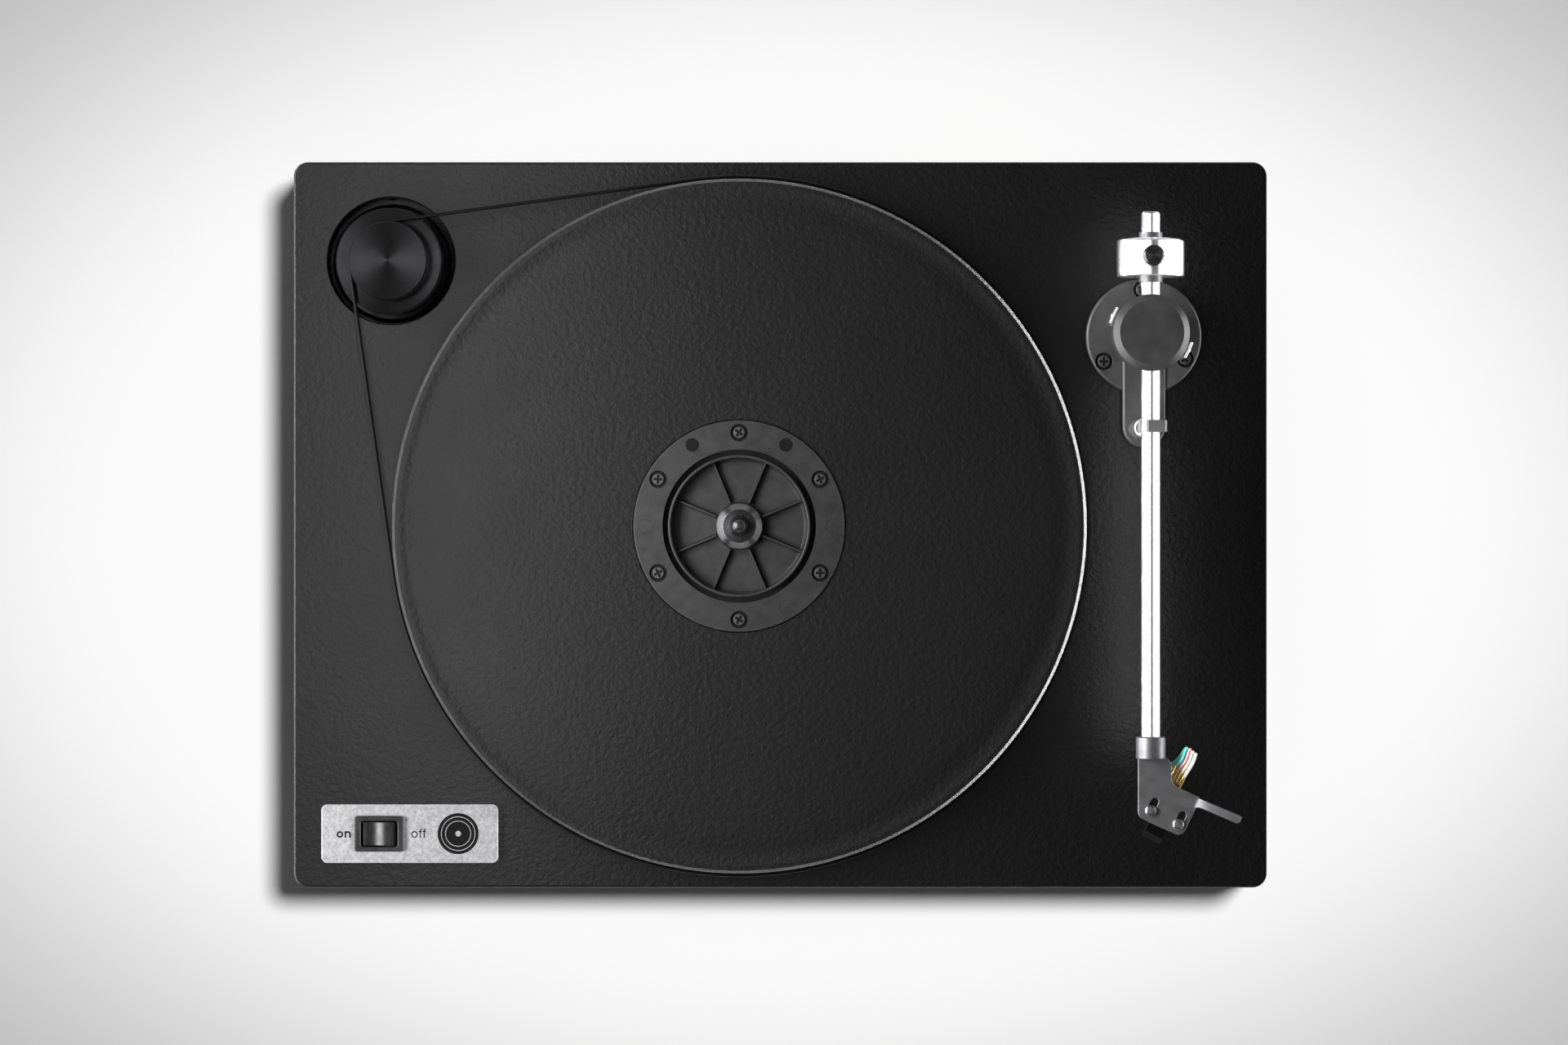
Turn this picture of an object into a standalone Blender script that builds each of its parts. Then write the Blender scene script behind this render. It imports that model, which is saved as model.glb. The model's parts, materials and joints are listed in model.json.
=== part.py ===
"""Belt-drive turntable record player at its real size.

The origin is on the surface that the player stands on, under the middle of
the plinth. +X is to the right, +Y to the back and +Z up. The constants and
the helpers' arguments are in millimetres and degrees, and the helpers turn
them into Blender's metres and radians. Neighbouring pieces keep a gap of
0.3 mm.
"""

import math

import bmesh
import bpy
from mathutils import Vector

MM = 0.001
GAP = 0.3

# Plinth
PLINTH_SIZE = (413.0, 308.0, 25.0)
PLINTH_CORNER = 6.0
PLINTH_EDGE = 1.0
PLINTH_BOTTOM = 16.0
PLINTH_TOP = PLINTH_BOTTOM + PLINTH_SIZE[2]
FOOT_PLACES = [(-175.0, -122.0), (175.0, -122.0), (178.0, 126.0), (-98.0, 126.0)]

# Platter, hub, spindle and main bearing
SPINDLE = (-17.2, -0.5)
PLATTER_RADIUS = 146.0
PLATTER_BOTTOM = 45.5
PLATTER_TOP = 63.6
PLATTER_LIP = 0.4
HUB_FLANGE_RADIUS = 44.5
HUB_BARREL_RADIUS = 34.9
HUB_FLANGE_THICKNESS = 3.6
HUB_GROOVE = (30.0, 32.2)
HUB_RING_INNER = 28.6
HUB_FLOOR = 55.5
HUB_BOTTOM = 50.5
HUB_RIBS = 8
HUB_SCREWS = 6
HUB_SCREW_CIRCLE = 39.3
RECORD_PIN_RADIUS = 3.6
BOSS_RADIUS = 10.0
SPINDLE_TIP = 77.5
SHAFT_RADIUS = 5.0
SHAFT_END = 25.6

# Motor, pulley and belt
MOTOR = (-165.2, 111.4)
MOTOR_RADIUS = 25.0
MOTOR_BOTTOM = 19.0
MOTOR_TOP = 32.0
WELL = (-165.1, 112.1)
WELL_RADIUS = 27.0
WELL_LOWER_RADIUS = 38.0
WELL_SHELF = 30.0
PULLEY_BOTTOM = 44.5
PULLEY_TOP = 59.5
BELT_RADIUS = 0.75
BELT_HEIGHT = 55.5
BELT_ON_PLATTER = PLATTER_RADIUS + GAP + 0.2 + BELT_RADIUS
SYNCHRONOUS_RPM = 300.0
RECORD_RPM = (100.0 / 3.0, 45.0)
BELT_ON_PULLEY = [BELT_ON_PLATTER * rpm / SYNCHRONOUS_RPM for rpm in RECORD_RPM]

# Switch
SWITCH_PLATE_CENTRE = (-157.1, -131.0)
SWITCH_PLATE_SIZE = (75.0, 25.0, 0.8)
SWITCH = (-170.0, -131.0)
BEZEL_SIZE = (21.0, 15.0)
SWITCH_BODY_SIZE = (18.6, 12.6)
ROCKER_RADIUS = 7.4
ROCKER_WIDTH = 10.3
ROCKER_PIVOT = 40.6
ROCKER_CORNER = 40.0
ROCKER_TILT = 14.0

# Tonearm
ARM = (154.0, 79.8)
ARM_AXIS_HEIGHT = 86.0
OFFSET = 26.2
PITCH_AXIS = 180.0 - 25.0
ARM_BASE_RADIUS = 24.5
ARM_TONGUE = 9.1
ARM_TONGUE_REACH = 47.2
ARM_TONGUE_RISE = 1.4
ARM_BASE_SCREWS = (92.0, 212.0, 332.0)
CAP_RADIUS = 16.0
CAP_TOP_RADIUS = 13.3
TUBE_RADIUS = 4.0
TUBE_BACK = 50.3
TUBE_FRONT = -174.6
COLLAR = (-167.8, -177.2, 6.15)
WEIGHT_RADIUS = 14.0
WEIGHT_LENGTH = 16.0
WEIGHT_BACK = 31.4
CARTRIDGE = (5.6, -201.4)
CARTRIDGE_SCREW_SPACING = 12.7
SLOT_LENGTH = 4.2
LIFT_OUTLINE = [
    (-10.5, -3.6),
    (-9.4, -3.4),
    (-8.2, -2.2),
    (-6.6, -1.75),
    (9.6, -1.75),
    (10.5, -0.8),
    (10.5, 1.0),
    (9.9, 1.75),
    (-10.5, 1.75),
]

# Rear sockets
POCKET = (60.0, 130.0, 116.0, 37.0)
PANEL_Y = 137.0
SOCKET_HEIGHT = 28.0

LOOKS = {
    "black_paint": ((0.022, 0.022, 0.023), 0.42, 0.0),
    "black_plastic": ((0.030, 0.030, 0.031), 0.50, 0.0),
    "gloss_black": ((0.012, 0.012, 0.012), 0.25, 0.0),
    "black_anodised": ((0.020, 0.020, 0.022), 0.32, 0.6),
    "rubber": ((0.016, 0.016, 0.016), 0.75, 0.0),
    "brushed_plate": ((0.58, 0.58, 0.59), 0.40, 1.0),
    "polished": ((0.88, 0.88, 0.89), 0.12, 1.0),
    "steel": ((0.55, 0.55, 0.56), 0.28, 1.0),
    "dark_steel": ((0.06, 0.06, 0.065), 0.35, 0.9),
    "grey_alloy": ((0.16, 0.16, 0.17), 0.42, 0.8),
    "brass": ((0.62, 0.45, 0.18), 0.30, 1.0),
    "gold": ((0.80, 0.58, 0.22), 0.22, 1.0),
    "board": ((0.03, 0.16, 0.07), 0.45, 0.0),
    "white_wire": ((0.75, 0.73, 0.70), 0.45, 0.0),
    "black_wire": ((0.02, 0.02, 0.02), 0.55, 0.0),
}


# ----------------------------------------------------------------- helpers
def clear_scene():
    for old in list(bpy.data.objects):
        bpy.data.objects.remove(old, do_unlink=True)


def new_collection(name):
    collection = bpy.data.collections.new(name)
    bpy.context.scene.collection.children.link(collection)
    return collection


def metres(*values):
    return Vector([value * MM for value in values])


def around(radius, angle, centre=(0.0, 0.0)):
    """The point at this radius and angle about a centre."""
    turn = math.radians(angle)
    return (
        centre[0] + radius * math.cos(turn),
        centre[1] + radius * math.sin(turn),
    )


def arc(radius, start, end, count, centre=(0.0, 0.0)):
    """Points of an arc, both ends included."""
    step = (end - start) / (count - 1)
    return [around(radius, start + step * i, centre) for i in range(count)]


def arm_point(x, y):
    """A point given from the arm's pivot."""
    return (ARM[0] + x, ARM[1] + y)


def cartridge_point(right, back):
    """A point given from the cartridge's screw line, along its own sides."""
    turn = math.radians(OFFSET)
    x = CARTRIDGE[0] + right * math.cos(turn) + back * math.sin(turn)
    y = CARTRIDGE[1] - right * math.sin(turn) + back * math.cos(turn)
    return arm_point(x, y)


def new_finish(name, look):
    colour, roughness, metallic = LOOKS[look]
    material = bpy.data.materials.new(name + "_finish")
    material.use_nodes = True
    shader = material.node_tree.nodes["Principled BSDF"]
    shader.inputs["Base Color"].default_value = (*colour, 1.0)
    shader.inputs["Roughness"].default_value = roughness
    shader.inputs["Metallic"].default_value = metallic
    return material


def joint_empty(name, location, parent=None):
    """An empty on a joint's axis, which carries the pieces that move together."""
    empty = bpy.data.objects.new(name, None)
    parts.objects.link(empty)
    empty.empty_display_size = 0.02
    attach(empty, location, (0.0, 0.0, 0.0), parent)
    return empty


def attach(piece, location, rotation, parent):
    """Places a piece by world coordinates, under its parent if it has one."""
    if parent is not None:
        piece.parent = parent
        piece.matrix_parent_inverse = parent.matrix_world.inverted()
    piece.location = metres(*location)
    piece.rotation_euler = [math.radians(angle) for angle in rotation]
    bpy.context.view_layer.update()


def add_piece(name, data, look, location, rotation=(0.0, 0.0, 0.0), parent=None):
    piece = bpy.data.objects.new(name, data)
    parts.objects.link(piece)
    attach(piece, location, rotation, parent)
    data.materials.append(new_finish(name, look))
    return piece


def turned(name, profile, look, steps, location, rotation=(0.0, 0.0, 0.0), parent=None):
    """A turned piece. The profile is (radius, height) and runs down the outside.

    It ends on the axis at both ends, or it is a closed ring away from the axis.
    """
    mesh = bpy.data.meshes.new(name)
    edges = [(i, i + 1) for i in range(len(profile) - 1)]
    if profile[0][0] > 0:
        edges.append((len(profile) - 1, 0))
    mesh.from_pydata([metres(r, 0, z) for r, z in profile], edges, [])
    piece = add_piece(name, mesh, look, location, rotation, parent)
    turn = piece.modifiers.new("Turn", "SCREW")
    turn.axis = "Z"
    turn.angle = math.tau
    turn.steps = steps
    turn.render_steps = steps
    turn.use_merge_vertices = True
    turn.merge_threshold = 0.00001
    turn.use_smooth_shade = True
    return piece


def box_mesh(name, size):
    mesh = bpy.data.meshes.new(name)
    solid = bmesh.new()
    bmesh.ops.create_cube(solid, size=1.0)
    bmesh.ops.scale(solid, vec=metres(*size), verts=solid.verts)
    solid.to_mesh(mesh)
    solid.free()
    return mesh


def drum_mesh(name, radius, height, steps):
    mesh = bpy.data.meshes.new(name)
    solid = bmesh.new()
    bmesh.ops.create_cone(
        solid,
        cap_ends=True,
        segments=steps,
        radius1=radius * MM,
        radius2=radius * MM,
        depth=height * MM,
    )
    solid.to_mesh(mesh)
    solid.free()
    return mesh


def prism_mesh(name, outline, height):
    """An outline drawn out along Z, centred on its plane."""
    count = len(outline)
    mesh = bpy.data.meshes.new(name)
    points = [metres(x, y, z) for z in (-height / 2, height / 2) for x, y in outline]
    walls = [(i, (i + 1) % count, (i + 1) % count + count, i + count) for i in range(count)]
    caps = [tuple(reversed(range(count))), tuple(range(count, 2 * count))]
    mesh.from_pydata(points, [], walls + caps)
    return mesh


def block(name, size, look, centre, rotation=(0.0, 0.0, 0.0), edge=0.0, parent=None):
    """A box with slightly rounded edges."""
    piece = add_piece(name, box_mesh(name, size), look, centre, rotation, parent)
    if edge:
        bevel = piece.modifiers.new("Edge", "BEVEL")
        bevel.width = edge * MM
        bevel.segments = 1
    return piece


def outline_curve(name, outlines, thickness, edge):
    """A flat filled curve with holes. Its thickness is centred on its plane."""
    curve = bpy.data.curves.new(name, "CURVE")
    curve.dimensions = "2D"
    curve.fill_mode = "BOTH"
    curve.extrude = (thickness / 2 - edge) * MM
    curve.bevel_depth = edge * MM
    curve.bevel_resolution = 0
    curve.offset = -edge * MM
    for outline in outlines:
        spline = curve.splines.new("POLY")
        spline.points.add(len(outline) - 1)
        for point, (x, y) in zip(spline.points, outline):
            point.co = (x * MM, y * MM, 0.0, 1.0)
        spline.use_cyclic_u = True
    return curve


def flat(
    name, outlines, thickness, look, location, rotation=(0.0, 0.0, 0.0), edge=0.0, parent=None
):
    """A plate cut to an outline, with any holes as further outlines."""
    curve = outline_curve(name, outlines, thickness, edge)
    return add_piece(name, curve, look, location, rotation, parent)


def wire(name, points, radius, look, resolution=2, closed=False, parent=None):
    """A round wire through these world points."""
    curve = bpy.data.curves.new(name, "CURVE")
    curve.dimensions = "3D"
    curve.bevel_depth = radius * MM
    curve.bevel_resolution = resolution
    curve.use_fill_caps = not closed
    spline = curve.splines.new("POLY")
    spline.points.add(len(points) - 1)
    for point, place in zip(spline.points, points):
        point.co = (*metres(*place), 1.0)
    spline.use_cyclic_u = closed
    piece = add_piece(name, curve, look, (0.0, 0.0, 0.0))
    if parent is not None:
        piece.parent = parent
        piece.matrix_parent_inverse = parent.matrix_world.inverted()
    return piece


def smooth_path(points, per_span):
    """Points of a smooth curve through the given points."""
    path = []
    for i in range(len(points) - 1):
        before = Vector(points[max(i - 1, 0)])
        start = Vector(points[i])
        end = Vector(points[i + 1])
        after = Vector(points[min(i + 2, len(points) - 1)])
        for k in range(per_span):
            t = k / per_span
            path.append(
                0.5
                * (
                    2 * start
                    + (end - before) * t
                    + (2 * before - 5 * start + 4 * end - after) * t**2
                    + (3 * start - before - 3 * end + after) * t**3
                )
            )
    path.append(Vector(points[-1]))
    return path


def as_mesh(piece):
    """Makes a curve a mesh with its caps welded on, so that it can be cut."""
    graph = bpy.context.evaluated_depsgraph_get()
    mesh = bpy.data.meshes.new_from_object(piece.evaluated_get(graph))
    solid = bmesh.new()
    solid.from_mesh(mesh)
    bmesh.ops.remove_doubles(solid, verts=solid.verts, dist=0.000001)
    bmesh.ops.recalc_face_normals(solid, faces=solid.faces)
    solid.to_mesh(mesh)
    solid.free()
    name = piece.name
    solid_piece = bpy.data.objects.new(name + "_solid", mesh)
    for collection in piece.users_collection:
        collection.objects.link(solid_piece)
    solid_piece.parent = piece.parent
    solid_piece.matrix_parent_inverse = piece.matrix_parent_inverse.copy()
    solid_piece.matrix_world = piece.matrix_world.copy()
    bpy.data.objects.remove(piece, do_unlink=True)
    solid_piece.name = name
    bpy.context.view_layer.update()
    return solid_piece


def new_cutter(name, mesh, centre, rotation=(0.0, 0.0, 0.0)):
    cutter = bpy.data.objects.new(name, mesh)
    cutters.objects.link(cutter)
    cutter.location = metres(*centre)
    cutter.rotation_euler = [math.radians(angle) for angle in rotation]
    cutter.hide_render = True
    cutter.display_type = "WIRE"
    return cutter


def join(piece, cutter, operation="DIFFERENCE"):
    boolean = piece.modifiers.new(cutter.name, "BOOLEAN")
    boolean.operation = operation
    boolean.solver = "EXACT"
    boolean.object = cutter


def cut_round(piece, name, radius, bottom, top, centre, steps=24):
    """Bores a vertical hole between two heights."""
    mesh = drum_mesh(name, radius, top - bottom, steps)
    join(piece, new_cutter(name, mesh, (*centre, (top + bottom) / 2)))


def cut_block(piece, name, low, high):
    """Cuts away a box given by its two corners."""
    size = [b - a for a, b in zip(low, high)]
    centre = [(a + b) / 2 for a, b in zip(low, high)]
    join(piece, new_cutter(name, box_mesh(name, size), centre))


def rounded_rectangle(width, depth, radius, count=5):
    points = []
    for corner, (sx, sy) in enumerate([(1, 1), (-1, 1), (-1, -1), (1, -1)]):
        centre = (sx * (width / 2 - radius), sy * (depth / 2 - radius))
        start = corner * 90.0
        points += arc(radius, start, start + 90.0, count, centre)
    return points


def slot(start, end, radius, count=5):
    """A straight slot with round ends."""
    heading = math.degrees(math.atan2(end[1] - start[1], end[0] - start[0]))
    return arc(radius, heading - 90, heading + 90, count, end) + arc(
        radius, heading + 90, heading + 270, count, start
    )


def screw_profile(head_radius, head_top, head_height, shank_radius, shank_end):
    return [
        (0.0, head_top),
        (head_radius * 0.6, head_top - 0.1),
        (head_radius, head_top - head_height * 0.55),
        (head_radius, head_top - head_height),
        (shank_radius, head_top - head_height),
        (shank_radius, shank_end),
        (0.0, shank_end),
    ]


# ----------------------------------------------------------------- plinth
def make_plinth():
    width, depth, height = PLINTH_SIZE
    outline = rounded_rectangle(width, depth, PLINTH_CORNER, 7)
    middle = PLINTH_BOTTOM + height / 2
    plinth = as_mesh(
        flat("plinth", [outline], height, "black_paint", (0, 0, middle), edge=PLINTH_EDGE)
    )
    below = PLINTH_BOTTOM - 1.0
    above = PLINTH_TOP + 1.0
    cut_round(plinth, "motor_well", WELL_RADIUS, below, above, WELL, 40)
    cut_round(plinth, "motor_recess", WELL_LOWER_RADIUS, below, WELL_SHELF, WELL, 40)
    cut_round(plinth, "bearing_bore", 9.6, below, above, SPINDLE, 24)
    cut_round(plinth, "bearing_recess", 15.0, below, 25.0, SPINDLE, 24)
    cut_round(plinth, "arm_bore", 7.0, below, above, ARM, 20)
    for number, angle in enumerate(ARM_BASE_SCREWS, 1):
        place = around(19.9, angle, ARM)
        cut_round(plinth, f"arm_screw_hole_{number}", 1.8, 30.0, above, place, 12)
    x, y = SWITCH
    half_x = SWITCH_BODY_SIZE[0] / 2 + GAP
    half_y = SWITCH_BODY_SIZE[1] / 2 + GAP
    cut_block(
        plinth, "switch_bore", (x - half_x, y - half_y, below), (x + half_x, y + half_y, above)
    )
    left, right, front, roof = POCKET
    cut_block(plinth, "socket_pocket", (left, front, below), (right, 160.0, roof))
    # Grooves for the internal wiring: sockets to motor well, well to switch, pivot to sockets.
    cut_block(plinth, "groove_across", (-130.0, 96.0, below), (80.0, 104.0, 24.0))
    cut_block(plinth, "groove_to_pocket", (72.0, 96.0, below), (80.0, 118.0, 24.0))
    cut_block(plinth, "groove_to_switch", (-174.0, -132.0, below), (-166.0, 80.0, 24.0))
    cut_block(plinth, "groove_to_arm", (110.0, 75.8, below), (154.0, 83.8, 24.0))
    cut_block(plinth, "groove_arm_pocket", (110.0, 75.8, below), (118.0, 118.0, 24.0))
    return plinth


def make_feet():
    profile = [
        (3.0, 15.7),
        (18.4, 15.7),
        (19.0, 15.1),
        (19.0, 9.0),
        (17.5, 0.8),
        (16.7, 0.0),
        (7.0, 0.0),
        (7.0, 6.0),
        (3.0, 6.0),
    ]
    for number, place in enumerate(FOOT_PLACES, 1):
        turned(f"foot_{number}", profile, "rubber", 16, (*place, 0.0))


def make_sockets():
    left, right, front, roof = POCKET
    width = right - left - 2 * GAP
    middle = (left + right) / 2
    holes = [(74.0, "rca_jack_right"), (90.0, "rca_jack_left"), (116.0, "power_jack")]
    panel_low = 18.1
    panel_high = roof - GAP
    panel_middle = (panel_low + panel_high) / 2
    outline = rounded_rectangle(width, panel_high - panel_low, 0.8, 2)
    openings = [arc(3.4, 0, 330, 12, (x - middle, SOCKET_HEIGHT - panel_middle)) for x, _ in holes]
    flat(
        "connector_panel",
        [outline, *openings],
        1.5,
        "black_plastic",
        (middle, PANEL_Y + 0.75, panel_middle),
        (90.0, 0.0, 0.0),
    )
    jack = [
        (0.0, 2.0),
        (1.7, 2.0),
        (1.7, 9.0),
        (3.8, 9.0),
        (4.2, 8.6),
        (4.2, 1.0),
        (5.6, 1.0),
        (5.6, GAP),
        (3.1, GAP),
        (3.1, -3.6),
        (0.0, -3.6),
    ]
    power = [
        (0.0, 7.4),
        (1.0, 7.0),
        (1.0, 0.8),
        (2.9, 0.8),
        (2.9, 8.6),
        (4.6, 8.6),
        (5.2, 8.0),
        (5.2, GAP),
        (3.1, GAP),
        (3.1, -3.6),
        (0.0, -3.6),
    ]
    face = PANEL_Y + 1.5
    for x, name in holes:
        profile, look = (power, "black_plastic") if name == "power_jack" else (jack, "gold")
        turned(name, profile, look, 10, (x, face, SOCKET_HEIGHT), (-90.0, 0.0, 0.0))
    block("connector_board", (64.0, 1.6, 16.0), "board", (middle, 133.6, 28.0), edge=0.2)
    block(
        "connector_cover",
        (width, PANEL_Y + 1.5 - front - GAP, 1.5),
        "black_plastic",
        (middle, (PANEL_Y + 1.5 + front + GAP) / 2, 17.05),
        edge=0.3,
    )


def make_switch():
    x, y = SWITCH_PLATE_CENTRE
    width, depth, thickness = SWITCH_PLATE_SIZE
    bottom = PLINTH_TOP + GAP
    half_x = SWITCH_BODY_SIZE[0] / 2 + GAP
    half_y = SWITCH_BODY_SIZE[1] / 2 + GAP
    shift = SWITCH[0] - x
    hole = [
        (shift - half_x, -half_y),
        (shift + half_x, -half_y),
        (shift + half_x, half_y),
        (shift - half_x, half_y),
    ]
    flat(
        "switch_plate",
        [rounded_rectangle(width, depth, 2.3, 5), hole],
        thickness,
        "brushed_plate",
        (x, y, bottom + thickness / 2),
    )
    bezel_bottom = bottom + thickness + GAP
    bezel_top = bezel_bottom + 1.8
    housing = block(
        "switch_housing",
        (*BEZEL_SIZE, bezel_top - bezel_bottom),
        "black_plastic",
        (*SWITCH, (bezel_top + bezel_bottom) / 2),
        edge=0.4,
    )
    body_bottom = 25.0
    body = box_mesh("switch_body", (*SWITCH_BODY_SIZE, bezel_bottom + 0.5 - body_bottom))
    centre = (*SWITCH, (bezel_bottom + 0.5 + body_bottom) / 2)
    join(housing, new_cutter("switch_body", body, centre), "UNION")
    reach = ROCKER_RADIUS + GAP
    side = ROCKER_WIDTH / 2 + GAP
    cut_block(
        housing,
        "rocker_cavity",
        (SWITCH[0] - reach, SWITCH[1] - side, ROCKER_PIVOT - reach),
        (SWITCH[0] + reach, SWITCH[1] + side, bezel_top + 1.0),
    )
    pivot = joint_empty("rocker_pivot", (*SWITCH, ROCKER_PIVOT))
    corner = around(ROCKER_RADIUS, ROCKER_CORNER)
    dip = 1.5
    top = [
        (corner[0] * t, corner[1] - dip * (1 - t * t)) for t in (-0.75, -0.5, -0.25, 0, 0.25, 0.5, 0.75)
    ]
    outline = arc(ROCKER_RADIUS, -180 - ROCKER_CORNER, ROCKER_CORNER, 19) + top[::-1]
    flat(
        "switch_rocker",
        [outline],
        ROCKER_WIDTH,
        "gloss_black",
        (*SWITCH, ROCKER_PIVOT),
        (90.0, -ROCKER_TILT, 0.0),
        edge=0.25,
        parent=pivot,
    )


# ----------------------------------------------------------------- drive
def make_motor():
    body = [
        (1.9, MOTOR_TOP + 1.6),
        (7.0, MOTOR_TOP + 1.6),
        (7.6, MOTOR_TOP + 1.0),
        (7.6, MOTOR_TOP),
        (24.2, MOTOR_TOP),
        (MOTOR_RADIUS, MOTOR_TOP - 0.8),
        (MOTOR_RADIUS, MOTOR_BOTTOM + 0.8),
        (24.2, MOTOR_BOTTOM),
        (1.9, MOTOR_BOTTOM),
    ]
    turned("motor_body", body, "steel", 24, (*MOTOR, 0.0))
    ring = [arc(36.0, 0, 345, 24), arc(25.7, 0, 345, 24)]
    flat("motor_bracket", ring, 1.5, "steel", (*MOTOR, 26.6))
    grommet = [(1.6, 29.7), (3.6, 29.7), (4.2, 28.7), (3.6, 27.65), (1.6, 27.65)]
    for number in range(3):
        place = around(31.2, 90 + 120 * number, MOTOR)
        turned(f"motor_grommet_{number + 1}", grommet, "rubber", 12, (*place, 0.0))
    cover = [(0.0, 18.3), (37.0, 18.3), (37.6, 17.7), (37.6, 16.3), (0.0, 16.3)]
    turned("bottom_cover", cover, "black_plastic", 28, (*WELL, 0.0))

    pulley_pivot = joint_empty("pulley_pivot", (*MOTOR, PULLEY_BOTTOM))
    fast, slow = BELT_ON_PULLEY[1], BELT_ON_PULLEY[0]
    seat = BELT_RADIUS + 0.4
    profile = [
        (0.0, PULLEY_TOP - 0.9),
        (1.3, PULLEY_TOP),
        (16.2, PULLEY_TOP),
        (16.7, PULLEY_TOP - 0.5),
        (16.7, BELT_HEIGHT + 2.6),
        (slow - seat, BELT_HEIGHT + 1.5),
        (slow - seat, BELT_HEIGHT - 1.5),
        (16.6, BELT_HEIGHT - 2.7),
        (21.9, BELT_HEIGHT - 2.7),
        (22.4, BELT_HEIGHT - 3.2),
        (22.4, BELT_HEIGHT - 4.0),
        (fast - seat, BELT_HEIGHT - 5.0),
        (fast - seat, BELT_HEIGHT - 8.2),
        (22.4, PULLEY_BOTTOM + 1.6),
        (22.4, PULLEY_BOTTOM),
        (1.9, PULLEY_BOTTOM),
        (1.9, PULLEY_TOP - 3.0),
        (0.0, PULLEY_TOP - 3.0),
    ]
    local = [(r, z - PULLEY_BOTTOM) for r, z in profile]
    turned(
        "motor_pulley", local, "black_anodised", 28, (*MOTOR, PULLEY_BOTTOM), parent=pulley_pivot
    )
    shaft = [(0.0, 56.0), (1.6, 55.7), (1.6, 20.0), (0.0, 20.0)]
    local = [(r, z - PULLEY_BOTTOM) for r, z in shaft]
    turned("motor_shaft", local, "steel", 12, (*MOTOR, PULLEY_BOTTOM), parent=pulley_pivot)


def make_belt():
    """The belt runs straight between the tangent points of platter and pulley."""
    dx = MOTOR[0] - SPINDLE[0]
    dy = MOTOR[1] - SPINDLE[1]
    heading = math.degrees(math.atan2(dy, dx))
    slow = BELT_ON_PULLEY[0]
    lean = math.degrees(math.acos((BELT_ON_PLATTER - slow) / math.hypot(dx, dy)))
    round_platter = arc(BELT_ON_PLATTER, heading + lean, heading + 360 - lean, 51, SPINDLE)
    round_pulley = arc(slow, heading - lean, heading + lean, 8, MOTOR)
    path = [(x, y, BELT_HEIGHT) for x, y in round_platter + round_pulley]
    wire("drive_belt", path, BELT_RADIUS, "rubber", resolution=1, closed=True)


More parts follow.
